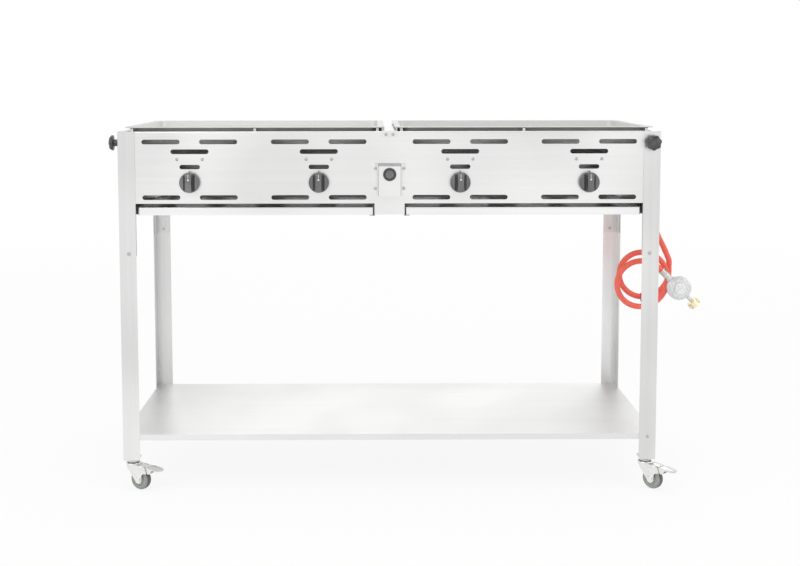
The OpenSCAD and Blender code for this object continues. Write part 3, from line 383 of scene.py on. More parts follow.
# Plated metal: a mirror-like skin with faint clouds and a few pits
plated_skin, plated_place, plated_given, plated_made = new_group(
    "plated_skin", {"Cloud Scale": 40.0, "Depth": 0.1}, ("Clouds", "Normal")
)
plated_clouds = noise_in(plated_skin, plated_place, plated_given["Cloud Scale"], 4)
plated_normal = bump_in(plated_skin, plated_clouds, plated_given["Depth"], 0.0004)
wired(plated_skin, plated_made, Clouds=plated_clouds, Normal=plated_normal)


def cast_or_plated(
    name, first, second, roughness, clouds=60.0, depth=0.1, metallic=1.0, dulled=0.14, limits=(0.35, 0.68)
):
    """Metal that is cast, turned or plated, clouded rather than brushed and duller in its clouds"""
    finish, tree, shader = new_finish(name, metallic=metallic)
    skin = placed(tree, plated_skin, Cloud_Scale=clouds, Depth=depth)
    gloss = spread(tree, skin["Clouds"], roughness, roughness + dulled, 0.35, 0.7)
    colour = two_tone(tree, spread(tree, skin["Clouds"], 0, 1, *limits), first, second)
    wired(tree, shader.inputs, Base_Color=colour, Roughness=gloss, Normal=skin["Normal"])
    return finish


def along(direction):
    """Turns Z to a direction"""
    return Vector((0, 0, 1)).rotation_difference(Vector(direction)).to_matrix().to_4x4()


sleeve_zinc = cast_or_plated("sleeve_zinc", (0.70, 0.69, 0.66), (0.56, 0.56, 0.54), 0.22)
sleeve_profile = [(hose_d / 2, 0), (sleeve_r, 0)]
for crimp in range(3):
    middle = sleeve_l * (0.25 + 0.25 * crimp)
    sleeve_profile += [
        (sleeve_r, middle - crimp_half), (crimp_r, middle - crimp_flat),
        (crimp_r, middle + crimp_flat), (sleeve_r, middle + crimp_half),
    ]
sleeve_profile += [(sleeve_r, sleeve_l), (hose_d / 2, sleeve_l)]
sleeve = turned(sleeve_profile, ring=True)
top_sleeve = Matrix.Translation(hose_exit - Vector((0, 0, sleeve_over_elbow)))
end_sleeve = (
    Matrix.Translation(regulator_centre - (regulator_barb + sleeve_over_barb) * down_right)
    @ along(down_right)
)
hose_sleeves = piece(
    "hose_sleeves", joined((sleeve, top_sleeve), (sleeve, end_sleeve)), sleeve_zinc, "root"
)

# The tie
# A black nylon strap, 5 mm wide, looped round both turns at the bottom of the coil.
# Its tail goes through a square head and is left standing out a little.
tie_w, tie_t = 0.005, 0.0012
tie_gap = hose_d / 2 + tie_t
tie_head_x = tie_gap + 0.0026
tie_a, tie_b = coil_point(0.14), coil_point(0.659)
tie_across = Vector((tie_b.y - tie_a.y, tie_b.z - tie_a.z))
tie_reach = tie_across.length / 2


def eased(shape, edges, width, segments=2):
    """Rounds some edges of a shape"""
    bmesh.ops.bevel(
        shape, geom=edges, offset=width, segments=segments, profile=0.5, affect="EDGES", material=-1
    )


def block(size, centre=(0, 0, 0), round_edges=0.0):
    """A box, with its edges rounded if asked"""
    shape = bmesh.new()
    bmesh.ops.create_cube(shape, size=1)
    bmesh.ops.scale(shape, vec=size, verts=shape.verts)
    if round_edges:
        eased(shape, shape.edges[:], round_edges)
    bmesh.ops.translate(shape, vec=centre, verts=shape.verts)
    return shape


def drawn_out(shape, edges):
    """Extrudes edges where they are, and gives the new corners and the new edges"""
    made = bmesh.ops.extrude_edge_only(shape, edges=edges)["geom"]
    corners = [part for part in made if isinstance(part, bmesh.types.BMVert)]
    return corners, [part for part in made if isinstance(part, bmesh.types.BMEdge)]


strap = bmesh.new()
bmesh.ops.create_circle(strap, segments=40, radius=tie_gap)
for corner in strap.verts:
    corner.co.y += tie_reach if corner.co.y > 0 else -tie_reach
far_edge, _ = drawn_out(strap, strap.edges[:])
bmesh.ops.translate(strap, vec=(0, 0, tie_w), verts=far_edge)
bmesh.ops.recalc_face_normals(strap, faces=strap.faces)
bmesh.ops.solidify(strap, geom=strap.faces[:], thickness=-tie_t)
bmesh.ops.translate(strap, vec=(0, 0, -tie_w / 2), verts=strap.verts)
strap_head = block((0.004, 0.008, 0.0075), (tie_head_x, 0, 0), 0.0008)
strap_tail = block((tie_t, 0.016, tie_w - 0.0008), (tie_head_x, 0.008, 0))
# The strap is made lying down, and then turned so that its head hangs below the turns
tie_place = (
    Matrix.Translation((tie_a + tie_b) / 2)
    @ Matrix.Rotation(math.atan2(tie_across.y, tie_across.x), 4, "X")
    @ Matrix.Rotation(math.pi / 2, 4, "Y")
)
tie_nylon = moulded("tie_nylon", (0.020, 0.020, 0.021), (0.030, 0.030, 0.031), 0.42, 1200, 0.1)
tie = piece(
    "hose_strap", joined(strap, strap_head, strap_tail, place=tie_place), tie_nylon, "root"
)
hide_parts("hose_tie")

# The regulator
# A cast zinc-alloy body of two round halves crimped at the rim, with a spring cap in front.
# A hose barb enters from the upper left and a stem leaves at the lower right for the cylinder nut.
reg_r = 0.0295
reg_ribs = 12
reg_back = 0.004
reg_alloy = cast_or_plated(
    "regulator_alloy", (0.82, 0.83, 0.84), (0.70, 0.71, 0.72), 0.36, 260, 0.25, 0.45
)
cap_plastic = moulded("regulator_cap_plastic", (0.98, 0.98, 0.97), (0.94, 0.94, 0.93), 0.30, 1500, 0.08)
facing_front = Matrix.Rotation(math.pi / 2, 4, "X")
reg_place = Matrix.Translation(regulator_centre) @ Matrix.Rotation(math.pi / 4, 4, "Y")
reg_half = Matrix.Translation((0, -reg_back, 0)) @ facing_front
reg_body = turned([
    (0, -0.012), (0.019, -0.012), (0.021, -0.0108), (0.0235, -0.007), (0.0275, -0.0045), (reg_r, -0.0035),
    (reg_r, 0.0005), (0.0288, 0.0012), (0.0288, 0.0022), (reg_r, 0.0029), (reg_r, 0.0065),
    (0.0275, 0.0080), (0.0235, 0.0092), (0.0215, 0.0112), (0.0160, 0.0120), (0, 0.0120),
], 72)
reg_rib = block((0.0075, 0.0016, 0.0034), (0.0232, 0, 0.0092), 0.0005)
reg_rib_ring = [(reg_rib, Matrix.Rotation(math.tau * i / reg_ribs, 4, "Z")) for i in range(reg_ribs)]
reg_neck = turned([
    (0, 0.024), (0.0088, 0.024), (0.0088, 0.0312), (0.0070, 0.0325), (0.0070, 0.0380), (0.0085, 0.0392),
    (0.0085, regulator_barb), (0, regulator_barb),
])
reg_stem = turned([
    (0, 0.024), (0.0085, 0.024), (0.0085, 0.0300), (0.0065, 0.0318), (0.0045, 0.0335), (0.0045, 0.0500),
    (0.0075, 0.0512), (0.0075, 0.0555), (0.0060, 0.0575), (0, 0.0575),
])
regulator = piece(
    "regulator_casting",
    joined(
        (joined(reg_body, *reg_rib_ring), reg_half),
        (reg_neck, along((-1, 0, 0))), (reg_stem, along((1, 0, 0))), place=reg_place,
    ),
    reg_alloy, "root",
)
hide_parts("regulator_body")
cap_shape = turned([
    (0.0085, 0.0115), (0.0135, 0.0115), (0.0135, 0.0165), (0.0130, 0.0172), (0.0118, 0.0180),
    (0.0098, 0.0180), (0.0090, 0.0172), (0.0090, 0.0160), (0, 0.0160), (0, 0.0115),
], 64, ring=True)
cap_key = block((0.0172, 0.0022, 0.0016), (0, 0, 0.0166), 0.0004)
cap_cross = [(cap_key, Matrix.Rotation(turn, 4, "Z")) for turn in (0, math.pi / 2)]
reg_cap = piece(
    "regulator_cap", joined(cap_shape, *cap_cross, place=reg_place @ reg_half),
    cap_plastic, "root",
)
nut_brass = cast_or_plated("turned_brass", (0.93, 0.84, 0.60), (0.84, 0.74, 0.50), 0.26, 120, 0.12)
dress(nut_brass, "regulator_nut")

# The inlet elbow
# A brass elbow screwed onto the pipe end that comes through the right side panel.
# Its hose nut points down, and its flats are left as forged.
elbow_brass = cast_or_plated("elbow_brass", (0.80, 0.66, 0.38), (0.66, 0.52, 0.28), 0.28, 150, 0.25)
dress(elbow_brass, "inlet_elbow")

# The housing
# Four walls of 1.5 mm brushed stainless sheet, folded over at the top and screwed to corner posts.
# The front wall has rows of punched slots and an apron that hangs down in the middle.
grain_directions = {"X": (0.012, 1.0, 1.0), "Y": (1.0, 0.012, 1.0), "Z": (1.0, 1.0, 0.012)}
brushed_grain, grain_place, grain_given, grain_made = new_group(
    "brushed_grain", {"Stretch": (1.0, 1.0, 1.0), "Depth": 0.1}, ("Lines", "Streaks", "Normal")
)
grain_stretch = brushed_grain.nodes.new("ShaderNodeMapping")
wired(brushed_grain, grain_stretch.inputs, Vector=grain_place, Scale=grain_given["Stretch"])
grain_lines = noise_in(brushed_grain, grain_stretch.outputs[0], 900.0, 3)
grain_streaks = noise_in(brushed_grain, grain_stretch.outputs[0], 110.0, 4)
grain_normal = bump_in(brushed_grain, grain_lines, grain_given["Depth"], 0.0001)
wired(brushed_grain, grain_made, Lines=grain_lines, Streaks=grain_streaks, Normal=grain_normal)

# Handling marks: faint broad smears where hands and cloths have been
handling_marks, marks_place, marks_given, marks_made = new_group("handling_marks", {"Size": 5.0}, ("Smears",))
marks_noise = noise_in(handling_marks, marks_place, marks_given["Size"], 5, 0.6)
wired(handling_marks, marks_made, Smears=spread(handling_marks, marks_noise, 0, 1, 0.42, 0.72))

# Oil canning: thin sheet is never quite flat, so its reflection swells and fades over a hand's width, and
# here that is painted reflection, as darker patches in its colour
canning_painted_reflection, canning_place, canning_given, canning_made = new_group(
    "canning_painted_reflection", {"Size": 2.6, "Share": 0.1}, ("Dimmed",)
)
canning_noise = noise_in(canning_painted_reflection, canning_place, canning_given["Size"], 1)
canning_dimmed = spread(canning_painted_reflection, canning_noise, 0, canning_given["Share"], 0.38, 0.62)
wired(canning_painted_reflection, canning_made, Dimmed=canning_dimmed)


def brushed(name, light, dark, roughness, grain="X", depth=0.12, smear_size=5.0, uneven=0.08):
    """Stainless sheet brushed along one axis, a little uneven in tone and gloss, with broad darker patches of
    painted reflection
    """
    finish, tree, shader = new_finish(name, metallic=1.0)
    lines = placed(tree, brushed_grain, Stretch=grain_directions[grain], Depth=depth)
    smears = placed(tree, handling_marks, Size=smear_size)
    swell = placed(tree, canning_painted_reflection, Share=uneven)
    streaked = two_tone(tree, spread(tree, lines["Streaks"], 0, 1, 0.3, 0.72), dark, light)
    # The swells darken the colour in broad patches: painted reflection
    dimmed = two_tone(tree, swell["Dimmed"], streaked, (0, 0, 0))
    gloss = spread(tree, lines["Lines"], roughness - 0.05, roughness + 0.06, 0.3, 0.7)
    smeared = tree.nodes.new("ShaderNodeMath")
    smeared.operation = "MULTIPLY_ADD"
    smeared.inputs[1].default_value = 0.07
    tree.links.new(smears["Smears"], smeared.inputs[0])
    tree.links.new(gloss, smeared.inputs[2])
    wired(tree, shader.inputs, Base_Color=dimmed, Roughness=smeared.outputs[0], Normal=lines["Normal"])
    return finish


housing_steel = brushed("housing_steel", (0.92, 0.92, 0.915), (0.885, 0.885, 0.88), 0.30, uneven=0.13)
side_steel = brushed("side_steel", (0.83, 0.83, 0.825), (0.78, 0.78, 0.775), 0.30, "Y")
bridge_steel = brushed("bridge_steel", (0.86, 0.86, 0.855), (0.81, 0.81, 0.805), 0.42, "Y")
dress(housing_steel, "front_panel", "rear_panel")
dress(side_steel, "left_side_panel", "right_side_panel")
dress(bridge_steel, "centre_bridge")

# The corner posts and legs
# Angle posts stay in the housing, and the four legs are 40 mm angles brushed along their length.
# Each leg is clamped to its post by a star knob, and two pins keep it from turning.
corners = ("front_left", "front_right", "rear_right", "rear_left")
leg_steel = brushed("leg_steel", (0.88, 0.88, 0.875), (0.83, 0.83, 0.825), 0.30, "Z", uneven=0.16)
post_steel = brushed("post_steel", (0.80, 0.80, 0.795), (0.72, 0.72, 0.715), 0.36, "Z")
dress(leg_steel, *[f"leg_{corner}" for corner in corners])
dress(post_steel, "corner_posts")

# The star knobs
# Black moulded knobs with seven lobes, each on a threaded steel stud.
# A round cap with a shallow dish closes the hole over the stud.
star_outward = [Vector(way) for way in ((-1, 0, 0), (0, -1, 0), (1, 0, 0), (0, 1, 0))]
star_head, star_neck, star_lobes = 0.011, 0.0115, 7
star_r, lobe_rise, lobe_steps = 0.01745, 0.00105, 12
thread_pitch, thread_ridges = 0.00125, 19


def lofted(loops):
    """A closed shape drawn out of its first loop of points through the others, with flat ends"""
    shape = bmesh.new()
    points = [shape.verts.new(point) for point in loops[0]]
    rim = [shape.edges.new(pair) for pair in zip(points, points[1:] + points[:1])]
    bmesh.ops.edgeloop_fill(shape, edges=rim)
    for loop in loops[1:]:
        points, rim = drawn_out(shape, rim)
        for point, place in zip(points, loop):
            point.co = place
    bmesh.ops.edgeloop_fill(shape, edges=rim)
    bmesh.ops.recalc_face_normals(shape, faces=shape.faces)
    return shape


def lobed(inset, height):
    """Points round the seven lobes, set in and at a height"""
    points = []
    for step in range(star_lobes * lobe_steps):
        angle = math.tau * step / (star_lobes * lobe_steps)
        reach = star_r + lobe_rise * math.cos(star_lobes * (angle + math.pi / 2)) - inset
        points.append((reach * math.cos(angle), reach * math.sin(angle), height))
    return points


star_shape = lofted([
    lobed(inset, star_neck + height) for inset, height in (
        (0.0050, 0), (0.0026, 0.0002), (0.0009, 0.0010), (0, 0.0026), (0, 0.0048),
        (0.0008, 0.0068), (0.0024, 0.0084), (0.0046, 0.0096), (0.0072, 0.0104), (0.0100, 0.0108),
    )
])
star_hub = turned([
    (0, -0.0002), (0.0076, -0.0002), (0.0080, 0.0003), (0.0080, star_neck - 0.0020),
    (0.0092, star_neck - 0.0004), (0.0110, star_neck + 0.0004), (0, star_neck + 0.0004),
])
star_end = star_neck + star_head
star_cap = turned([
    (0, star_end - 0.0012), (0.0079, star_end - 0.0012), (0.0079, star_end), (0.0070, star_end + 0.0006),
    (0.0058, star_end + 0.0004), (0.0046, star_end - 0.0003), (0, star_end - 0.0004),
])
thread_profile = [(0, 0.0112)]
for ridge in range(thread_ridges):
    drop = thread_pitch * ridge
    thread_profile += [(0.0036, 0.0105 - drop), (0.0040, 0.0099 - drop)]
star_stud = turned([*thread_profile, (0.0034, -0.0140), (0, -0.0152)], 24)
# On the star knobs the light patches, about a knob's size, are painted highlights on the lobes and head
star_highlight_plastic = moulded(
    "star_knob_plastic", (0.030, 0.030, 0.031), (0.095, 0.095, 0.097), 0.15, 1100, 0.15, 45
)
for corner, outward in zip(corners, star_outward):
    low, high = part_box(f"star_knob_{corner}")
    # The face of the leg lies one head and one neck in from the outer end of the knob
    face = Vector([
        (high[k] if outward[k] > 0 else low[k]) - outward[k] * star_end if outward[k]
        else (low[k] + high[k]) / 2
        for k in range(3)
    ])
    place = Matrix.Translation(face) @ along(outward)
    moulding = piece(
        f"star_knob_{corner}_moulding", joined(star_shape, star_hub, star_cap, place=place),
        star_highlight_plastic, f"clamp_{corner}",
    )
    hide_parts(f"star_knob_{corner}")
    stud = joined(star_stud, place=place)
    piece(f"star_knob_{corner}_stud", stud, sleeve_zinc, f"clamp_{corner}")

# The bottom shelf
# One brushed sheet with its edges folded down, screwed to the legs at its corners.
# It is bright, and carries long faint brush lines across the grill.
shelf_steel = brushed("shelf_steel", (0.87, 0.87, 0.865), (0.84, 0.84, 0.835), 0.42, "X", 0.10, 3.0, 0.07)
dress(shelf_steel, "bottom_shelf")

# The burners
# Bent and welded stainless tubes, 28 mm thick, with a row of flame ports along each top.
# They hang from folded brackets behind the front wall and rest on a rail at the rear.
burner_steel = cast_or_plated(
    "burner_steel", (0.56, 0.53, 0.47), (0.46, 0.40, 0.33), 0.28, 30, 0.12, dulled=0.18, limits=(0.38, 0.66)
)
dress(burner_steel, *[f"burner_{i}" for i in range(1, 5)])
bracket_steel = brushed("bracket_steel", (0.64, 0.64, 0.63), (0.54, 0.54, 0.53), 0.36, "X")
dress(bracket_steel, "burner_brackets")

# The gas line
# A drawn pipe behind the knobs carries four brass valves, and a jet at each valve blows into its burner.
# The valve stems are plain plated rods that come through the front wall.
pipe_metal = cast_or_plated("drawn_pipe", (0.70, 0.70, 0.70), (0.58, 0.58, 0.58), 0.30, 80)
stem_zinc = cast_or_plated("stem_zinc", (0.70, 0.70, 0.67), (0.60, 0.60, 0.58), 0.20, 200)
dress(pipe_metal, "gas_manifold")
dress(elbow_brass, "gas_valves")
dress(stem_zinc, *[f"valve_stem_{i}" for i in range(1, 5)])

# The screws and pins
# Plated cross-recess screws hold the brackets, the igniter box, the bridge and the shelf.
# Two plain pins at each corner go through the leg and its post.
screw_r, screw_rise = 0.004, 0.0022
bracket_screw_x, bracket_screw_drop = 0.030, 0.0655
igniter_screw_x, igniter_screw_drops = 0.0335, (0.1343, 0.0864)
tab_screw_x, tab_screw_drop = 0.0083, 0.0074
shelf_screw_in, shelf_screw_drop = 0.020, 0.007
pin_in, pin_z = 0.0225, 0.571
sheet_t = 0.0015
facing_rear = Matrix.Rotation(-math.pi / 2, 4, "X")
facing_left = Matrix.Rotation(-math.pi / 2, 4, "Y")


def carved(shape, *cutters):
    """Cuts shapes out of another and gives the result as a shape"""
    made = [in_scene("carving", mesh_of("carving", source)) for source in (shape, *cutters)]
    for cutter in made[1:]:
        cut = made[0].modifiers.new("cut", "BOOLEAN")
        cut.operation, cut.solver, cut.object = "DIFFERENCE", "EXACT", cutter
    result = bmesh.new()
    result.from_object(made[0], bpy.context.evaluated_depsgraph_get())
    for used in made:
        mesh = used.data
        bpy.data.objects.remove(used)
        bpy.data.meshes.remove(mesh)
    return result


screw_head = turned([
    (0, 0), (screw_r, 0), (screw_r, 0.0006), (0.0037, 0.0010), (0.0029, 0.0017),
    (0.0016, screw_rise - 0.0001), (0, screw_rise),
], 32)
screw_shank = turned([(0, -0.006), (0.0016, -0.006), (0.002, -0.0055), (0.002, 0), (0, 0)], 24)
recess = [block(size, (0, 0, screw_rise)) for size in ((0.0046, 0.0009, 0.0024), (0.0009, 0.0046, 0.0024))]
screw = joined(carved(screw_head, *recess), screw_shank)
pin = turned([
    (0, -0.0055), (0.0033, -0.0055), (0.00375, -0.0050), (0.00375, 0), (0.00475, 0), (0.00475, 0.0002),
    (0.0042, 0.0009), (0.0030, 0.0012), (0, 0.0012),
], 32)
leg_low, leg_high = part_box("leg_front_left")
leg_x, leg_y, top_z = -leg_low.x, -leg_low.y, leg_high.z
panel_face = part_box("front_panel")[0].y
cover_low, cover_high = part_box("igniter_cover")
bridge_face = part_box("centre_bridge")[1].y
shelf_screw_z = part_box("bottom_shelf")[1].z - shelf_screw_drop
station_x = [sum(corner.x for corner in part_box(f"burner_knob_{i}")) / 2 for i in range(1, 5)]
front_screws = [
    (x + side, panel_face, top_z - bracket_screw_drop)
    for x in station_x for side in (-bracket_screw_x, bracket_screw_x)
] + [
    (x, cover_high.y - sheet_t, top_z - drop)
    for x in (-igniter_screw_x, igniter_screw_x) for drop in igniter_screw_drops
]
screw_places = [Matrix.Translation(centre) @ facing_front for centre in front_screws]
for x in (-tab_screw_x, tab_screw_x):
    for y, facing in ((-bridge_face, facing_front), (bridge_face, facing_rear)):
        screw_places.append(Matrix.Translation((x, y, top_z - tab_screw_drop)) @ facing)
pin_places = []
for turn, (x, y) in enumerate(((-leg_x, -leg_y), (leg_x, -leg_y), (leg_x, leg_y), (-leg_x, leg_y))):
    corner_place = Matrix.Translation((x, y, 0)) @ Matrix.Rotation(math.pi / 2 * turn, 4, "Z")
    screw_places.append(corner_place @ Matrix.Translation((0, shelf_screw_in, shelf_screw_z)) @ facing_left)
    pin_places.append(corner_place @ Matrix.Translation((pin_in, 0, pin_z)) @ facing_front)
    pin_places.append(corner_place @ Matrix.Translation((0, pin_in, pin_z)) @ facing_left)
# Each screw was driven home at its own angle
driven = [(screw, place @ Matrix.Rotation(0.7 * i, 4, "Z")) for i, place in enumerate(screw_places)]
screw_steel = cast_or_plated("screw_steel", (0.58, 0.58, 0.57), (0.46, 0.46, 0.455), 0.26, 300)
screws = piece(
    "plated_screws_and_pins", joined(*driven, *[(pin, place) for place in pin_places]),
    screw_steel, "root",
)
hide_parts("screws_and_pins")

# The knobs
# Black moulded knobs with a grip bar left between two scooped hollows, and a pointer at the top.
# A white line and dot are inlaid in the bar, and the knob presses onto its valve stem.
knob_r, knob_depth, knob_gap = 0.0235, 0.026, 0.004
knob_bore = 0.0042
bar_w, hollow_r = 0.014, 0.016
knob_z = sum(corner.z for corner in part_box("valve_stem_1")) / 2
knob_plastic = moulded("knob_plastic", (0.130, 0.130, 0.132), (0.215, 0.215, 0.217), 0.24, 1300, 0.18)
# A near-black copy of the knob plastic for the faces in the hollows is painted shade
hollow_shade_plastic = moulded("knob_hollow_painted_shade", (0.008, 0.008, 0.009), (0.014, 0.014, 0.015), 0.24, 1300, 0.1)
mark_white = moulded("mark_white", (0.85, 0.85, 0.83), (0.80, 0.80, 0.78), 0.45, 1500, 0.05)


def rod(radius, length, segments):
    """A plain round rod along Z, centred"""
    shape = bmesh.new()
    bmesh.ops.create_cone(
        shape, cap_ends=True, segments=segments, radius1=radius, radius2=radius, depth=length
    )
    return shape


knob_blank = turned([
    (knob_bore, 0), (knob_r - 0.0006, 0), (knob_r, 0.0006), (knob_r, 0.0080), (knob_r - 0.0006, 0.0087),
    (knob_r - 0.0020, 0.0090), (knob_r - 0.0022, 0.0225), (knob_r - 0.0030, 0.0246),
    (knob_r - 0.0048, 0.0257), (knob_r - 0.0070, knob_depth), (0, knob_depth), (0, 0.0165),
    (knob_bore, 0.0165),
], 96, ring=True)
scoop = joined(rod(hollow_r, 0.08, 72), place=Matrix.Translation((0, 0, knob_depth)) @ facing_front)
scoop_x = bar_w / 2 + hollow_r
scoops = [joined(scoop, place=Matrix.Translation((x, 0, 0))) for x in (-scoop_x, scoop_x)]
knob_shape = carved(knob_blank, *scoops)
pointer = block((0.0024, 0.007, 0.0060), (0, knob_r + 0.0003, 0.0045), 0.0006)
flute = block((0.0010, 0.0012, 0.0062), (0, knob_r, 0.0044), 0.0003)
flutes = [(flute, Matrix.Rotation(math.radians(angle), 4, "Z")) for angle in range(24, 337, 8)]
dot = turned([(0, -0.0005), (0.0021, -0.0005), (0.0021, 0.0001), (0.0018, 0.00025), (0, 0.00025)], 24)
dash = block((0.0012, 0.0085, 0.0007), (0, 0.0160, knob_depth - 0.0002), 0.00015)
for number, x in enumerate(station_x, start=1):
    place = Matrix.Translation((x, panel_face - knob_gap, knob_z)) @ facing_front
    knob = piece(
        f"knob_{number}_moulding", joined(knob_shape, pointer, *flutes, place=place),
        knob_plastic, f"knob_{number}", 28,
    )
    knob.data.materials.append(hollow_shade_plastic)
    # The faces in the two hollows beside the bar take the painted shade
    for face in knob.data.polygons:
        beside = abs(face.center.x - x)
        face.material_index = int(bar_w / 2 < beside < bar_w and abs(face.normal.x) > 0.3)
    edge = knob.modifiers.new("moulded_edges", "BEVEL")
    edge.width, edge.segments = 0.0005, 2
    edge.limit_method, edge.angle_limit = "ANGLE", math.radians(50)
    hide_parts(f"burner_knob_{number}")
    mark = joined((dot, Matrix.Translation((0, 0.0080, knob_depth))), dash, place=place)
    piece(f"knob_{number}_mark", mark, mark_white, f"knob_{number}")

# The igniter
# A push-button spark igniter: a black collar screwed on in front of the steel box, and its button.
# The button is dished, and travels into the collar.
cover_w, cover_slope, cover_bend = 0.054, 0.006, 0.0028
cover_h = cover_high.z - cover_low.z
cover_depth = cover_high.y - cover_low.y
flange_w = cover_high.x - cover_w / 2
igniter_hole_r = 0.0128
button_low, button_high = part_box("igniter_button")
button_l = button_high.y - button_low.y
button_z = (button_low.z + button_high.z) / 2
igniter_plastic = moulded("igniter_plastic", (0.050, 0.050, 0.051), (0.070, 0.070, 0.071), 0.22, 1300, 0.1)
button_plastic = moulded("button_plastic", (0.150, 0.150, 0.151), (0.190, 0.190, 0.191), 0.34, 1100, 0.1)
# A darker copy of the sheet for the box's front bends and sloped top is painted shade, and on the bends a
# painted dark reflection
painted_shade_steel = brushed("painted_shade_steel", (0.69, 0.69, 0.685), (0.59, 0.59, 0.585), 0.34, "Z")


def cover_shell(inset):
    """The box over the igniter, or its inside if set in by the sheet"""
    front, top = -cover_depth + inset, cover_h - inset
    outline = [(0.002 if inset else 0, inset), (front, inset), (front, top - cover_slope), (0, top)]
    if inset:
        outline.append((0.002, top))
    ends = (-cover_w / 2 + inset, cover_w / 2 - inset)
    shape = lofted([[(x, y, z) for y, z in outline] for x in ends])
    bends = [
        edge for edge in shape.edges
        if all(corner.co.y < front + 0.0001 for corner in edge.verts)
        and abs(edge.verts[0].co.x - edge.verts[1].co.x) < 0.001
    ]
    eased(shape, bends, cover_bend - inset, 4)
    return shape


hole_place = Matrix.Translation((0, -cover_depth, button_z - cover_low.z)) @ facing_front
cover_hole = joined(rod(igniter_hole_r, 0.02, 48), place=hole_place)
cover_parts = [carved(cover_shell(0), cover_shell(sheet_t), cover_hole)]
for side in (-1, 1):
    flange_centre = (side * (cover_w + flange_w - sheet_t) / 2, -sheet_t / 2, cover_h / 2)
    cover_parts.append(block((flange_w + sheet_t, sheet_t, cover_h), flange_centre, 0.0004))
cover_shape = joined(*cover_parts, place=Matrix.Translation((0, cover_high.y, cover_low.z)))
cover = piece("igniter_box", cover_shape, housing_steel, "root", 40)
cover.data.materials.append(painted_shade_steel)
# The front bends and the sloped top take the darker copy: painted shade
for face in cover.data.polygons:
    bent = face.center.y < cover_low.y + 0.003 and 0.2 < abs(face.normal.x) < 0.98
    sloped = face.normal.z > 0.9 and face.center.z > cover_high.z - cover_slope
    face.material_index = int(bent or sloped)
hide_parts("igniter_cover")
collar = turned([
    (0.0096, -0.0005), (0.0155, 0), (0.0155, 0.0018), (0.0150, 0.0029), (0.0140, 0.0036),
    (0.0131, 0.0038), (0.0126, 0.0034), (0.0122, 0.0022), (0.0114, 0.0020), (0.0108, 0.0024),
    (0.0104, 0.0036), (0.0100, 0.0038), (0.0097, 0.0034),
], 64, ring=True)
collar_place = Matrix.Translation((0, cover_low.y, button_z)) @ facing_front
piece("igniter_collar", joined(collar, place=collar_place), igniter_plastic, "root")
button_shape = turned([
    (0, 0), (0.0095, 0), (0.0095, button_l - 0.0010), (0.0091, button_l - 0.0002), (0.0084, button_l),
    (0.0076, button_l - 0.0002), (0.0060, button_l - 0.0008), (0, button_l - 0.0012),
], 48)
button_place = Matrix.Translation((0, button_high.y, button_z)) @ facing_front
button = piece(
    "igniter_push_button", joined(button_shape, place=button_place),
    button_plastic, "igniter_push",
)
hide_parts("igniter_button")
dress(igniter_plastic, "igniter_body")
electrode_ceramic = moulded("electrode_ceramic", (0.84, 0.82, 0.76), (0.76, 0.73, 0.66), 0.22, 600, 0.05)
lead_rubber = moulded("lead_rubber", (0.025, 0.025, 0.025), (0.040, 0.040, 0.040), 0.45, 1400, 0.2)
dress(electrode_ceramic, "spark_electrodes")
dress(lead_rubber, "ignition_leads")

# The drip trays
# Two shallow stainless trays slide on runners under the housing, and catch the fat.
# Their upper edge is rolled over a wire, which shows as a bright bead.
tray_corner = 0.004
bead_r = 0.0012
bead_in = 0.0004
tray_steel = brushed("tray_steel", (0.95, 0.95, 0.945), (0.90, 0.90, 0.895), 0.28, "X")
runner_steel = brushed("runner_steel", (0.66, 0.66, 0.655), (0.56, 0.56, 0.555), 0.36, "Y")
dress(tray_steel, "drip_tray_left", "drip_tray_right")
dress(runner_steel, "tray_runners")


def rounded_loop(low, high, radius, steps=6):
    """Points round a rectangle with rounded corners, seen from above"""
    points = []
    for turn, x, y in (
        (0, high.x - radius, high.y - radius), (1, low.x + radius, high.y - radius),
        (2, low.x + radius, low.y + radius), (3, high.x - radius, low.y + radius),
    ):
        for step in range(steps + 1):
            angle = math.pi / 2 * (turn + step / steps)
            points.append(Vector((x + radius * math.cos(angle), y + radius * math.sin(angle), high.z)))
    return points


for side in ("left", "right"):
    low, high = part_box(f"drip_tray_{side}")
    bead_points = rounded_loop(
        low + Vector((bead_in, bead_in, 0)), high - Vector((bead_in, bead_in, bead_r * 0.6)), tray_corner
    )
    bead_line = round_line(f"tray_bead_{side}", bead_r, 3)
    bead_loop = bead_line.splines.new("POLY")
    bead_loop.points.add(len(bead_points) - 1)
    for knot, point in zip(bead_loop.points, bead_points):
        knot.co = (*point, 1)
    bead_loop.use_cyclic_u = True
    bead_line.materials.append(tray_steel)
    tray_bead = in_scene(f"tray_bead_{side}", bead_line)
    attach(tray_bead, f"tray_{side}")

# The pans
# Two shallow steel pans with flat rims and rounded wells, lifted out by their rims.
# They are satin, with a long cross grain from the pressing, and faintly straw coloured in patches.
pan_t = 0.0025
pan_wall_depth = 0.0150
pan_steel, pan_tree, pan_shader = new_finish("pan_steel", metallic=0.35)
pan_shader.inputs["Specular IOR Level"].default_value = 0.3
pan_grain = placed(pan_tree, brushed_grain, Stretch=grain_directions["X"], Depth=0.12)
pan_smears = placed(pan_tree, handling_marks, Size=3.0)
pan_streaks = spread(pan_tree, pan_grain["Streaks"], 0, 1, 0.3, 0.72)
pan_satin = two_tone(pan_tree, pan_streaks, (0.64, 0.64, 0.635), (0.70, 0.70, 0.69))
pan_strawed = spread(pan_tree, pan_smears["Smears"], 0, 0.35)
pan_colour = two_tone(pan_tree, pan_strawed, pan_satin, (0.65, 0.63, 0.585))
pan_gloss = spread(pan_tree, pan_grain["Lines"], 0.46, 0.60, 0.3, 0.7)
wired(pan_tree, pan_shader.inputs, Base_Color=pan_colour, Roughness=pan_gloss, Normal=pan_grain["Normal"])
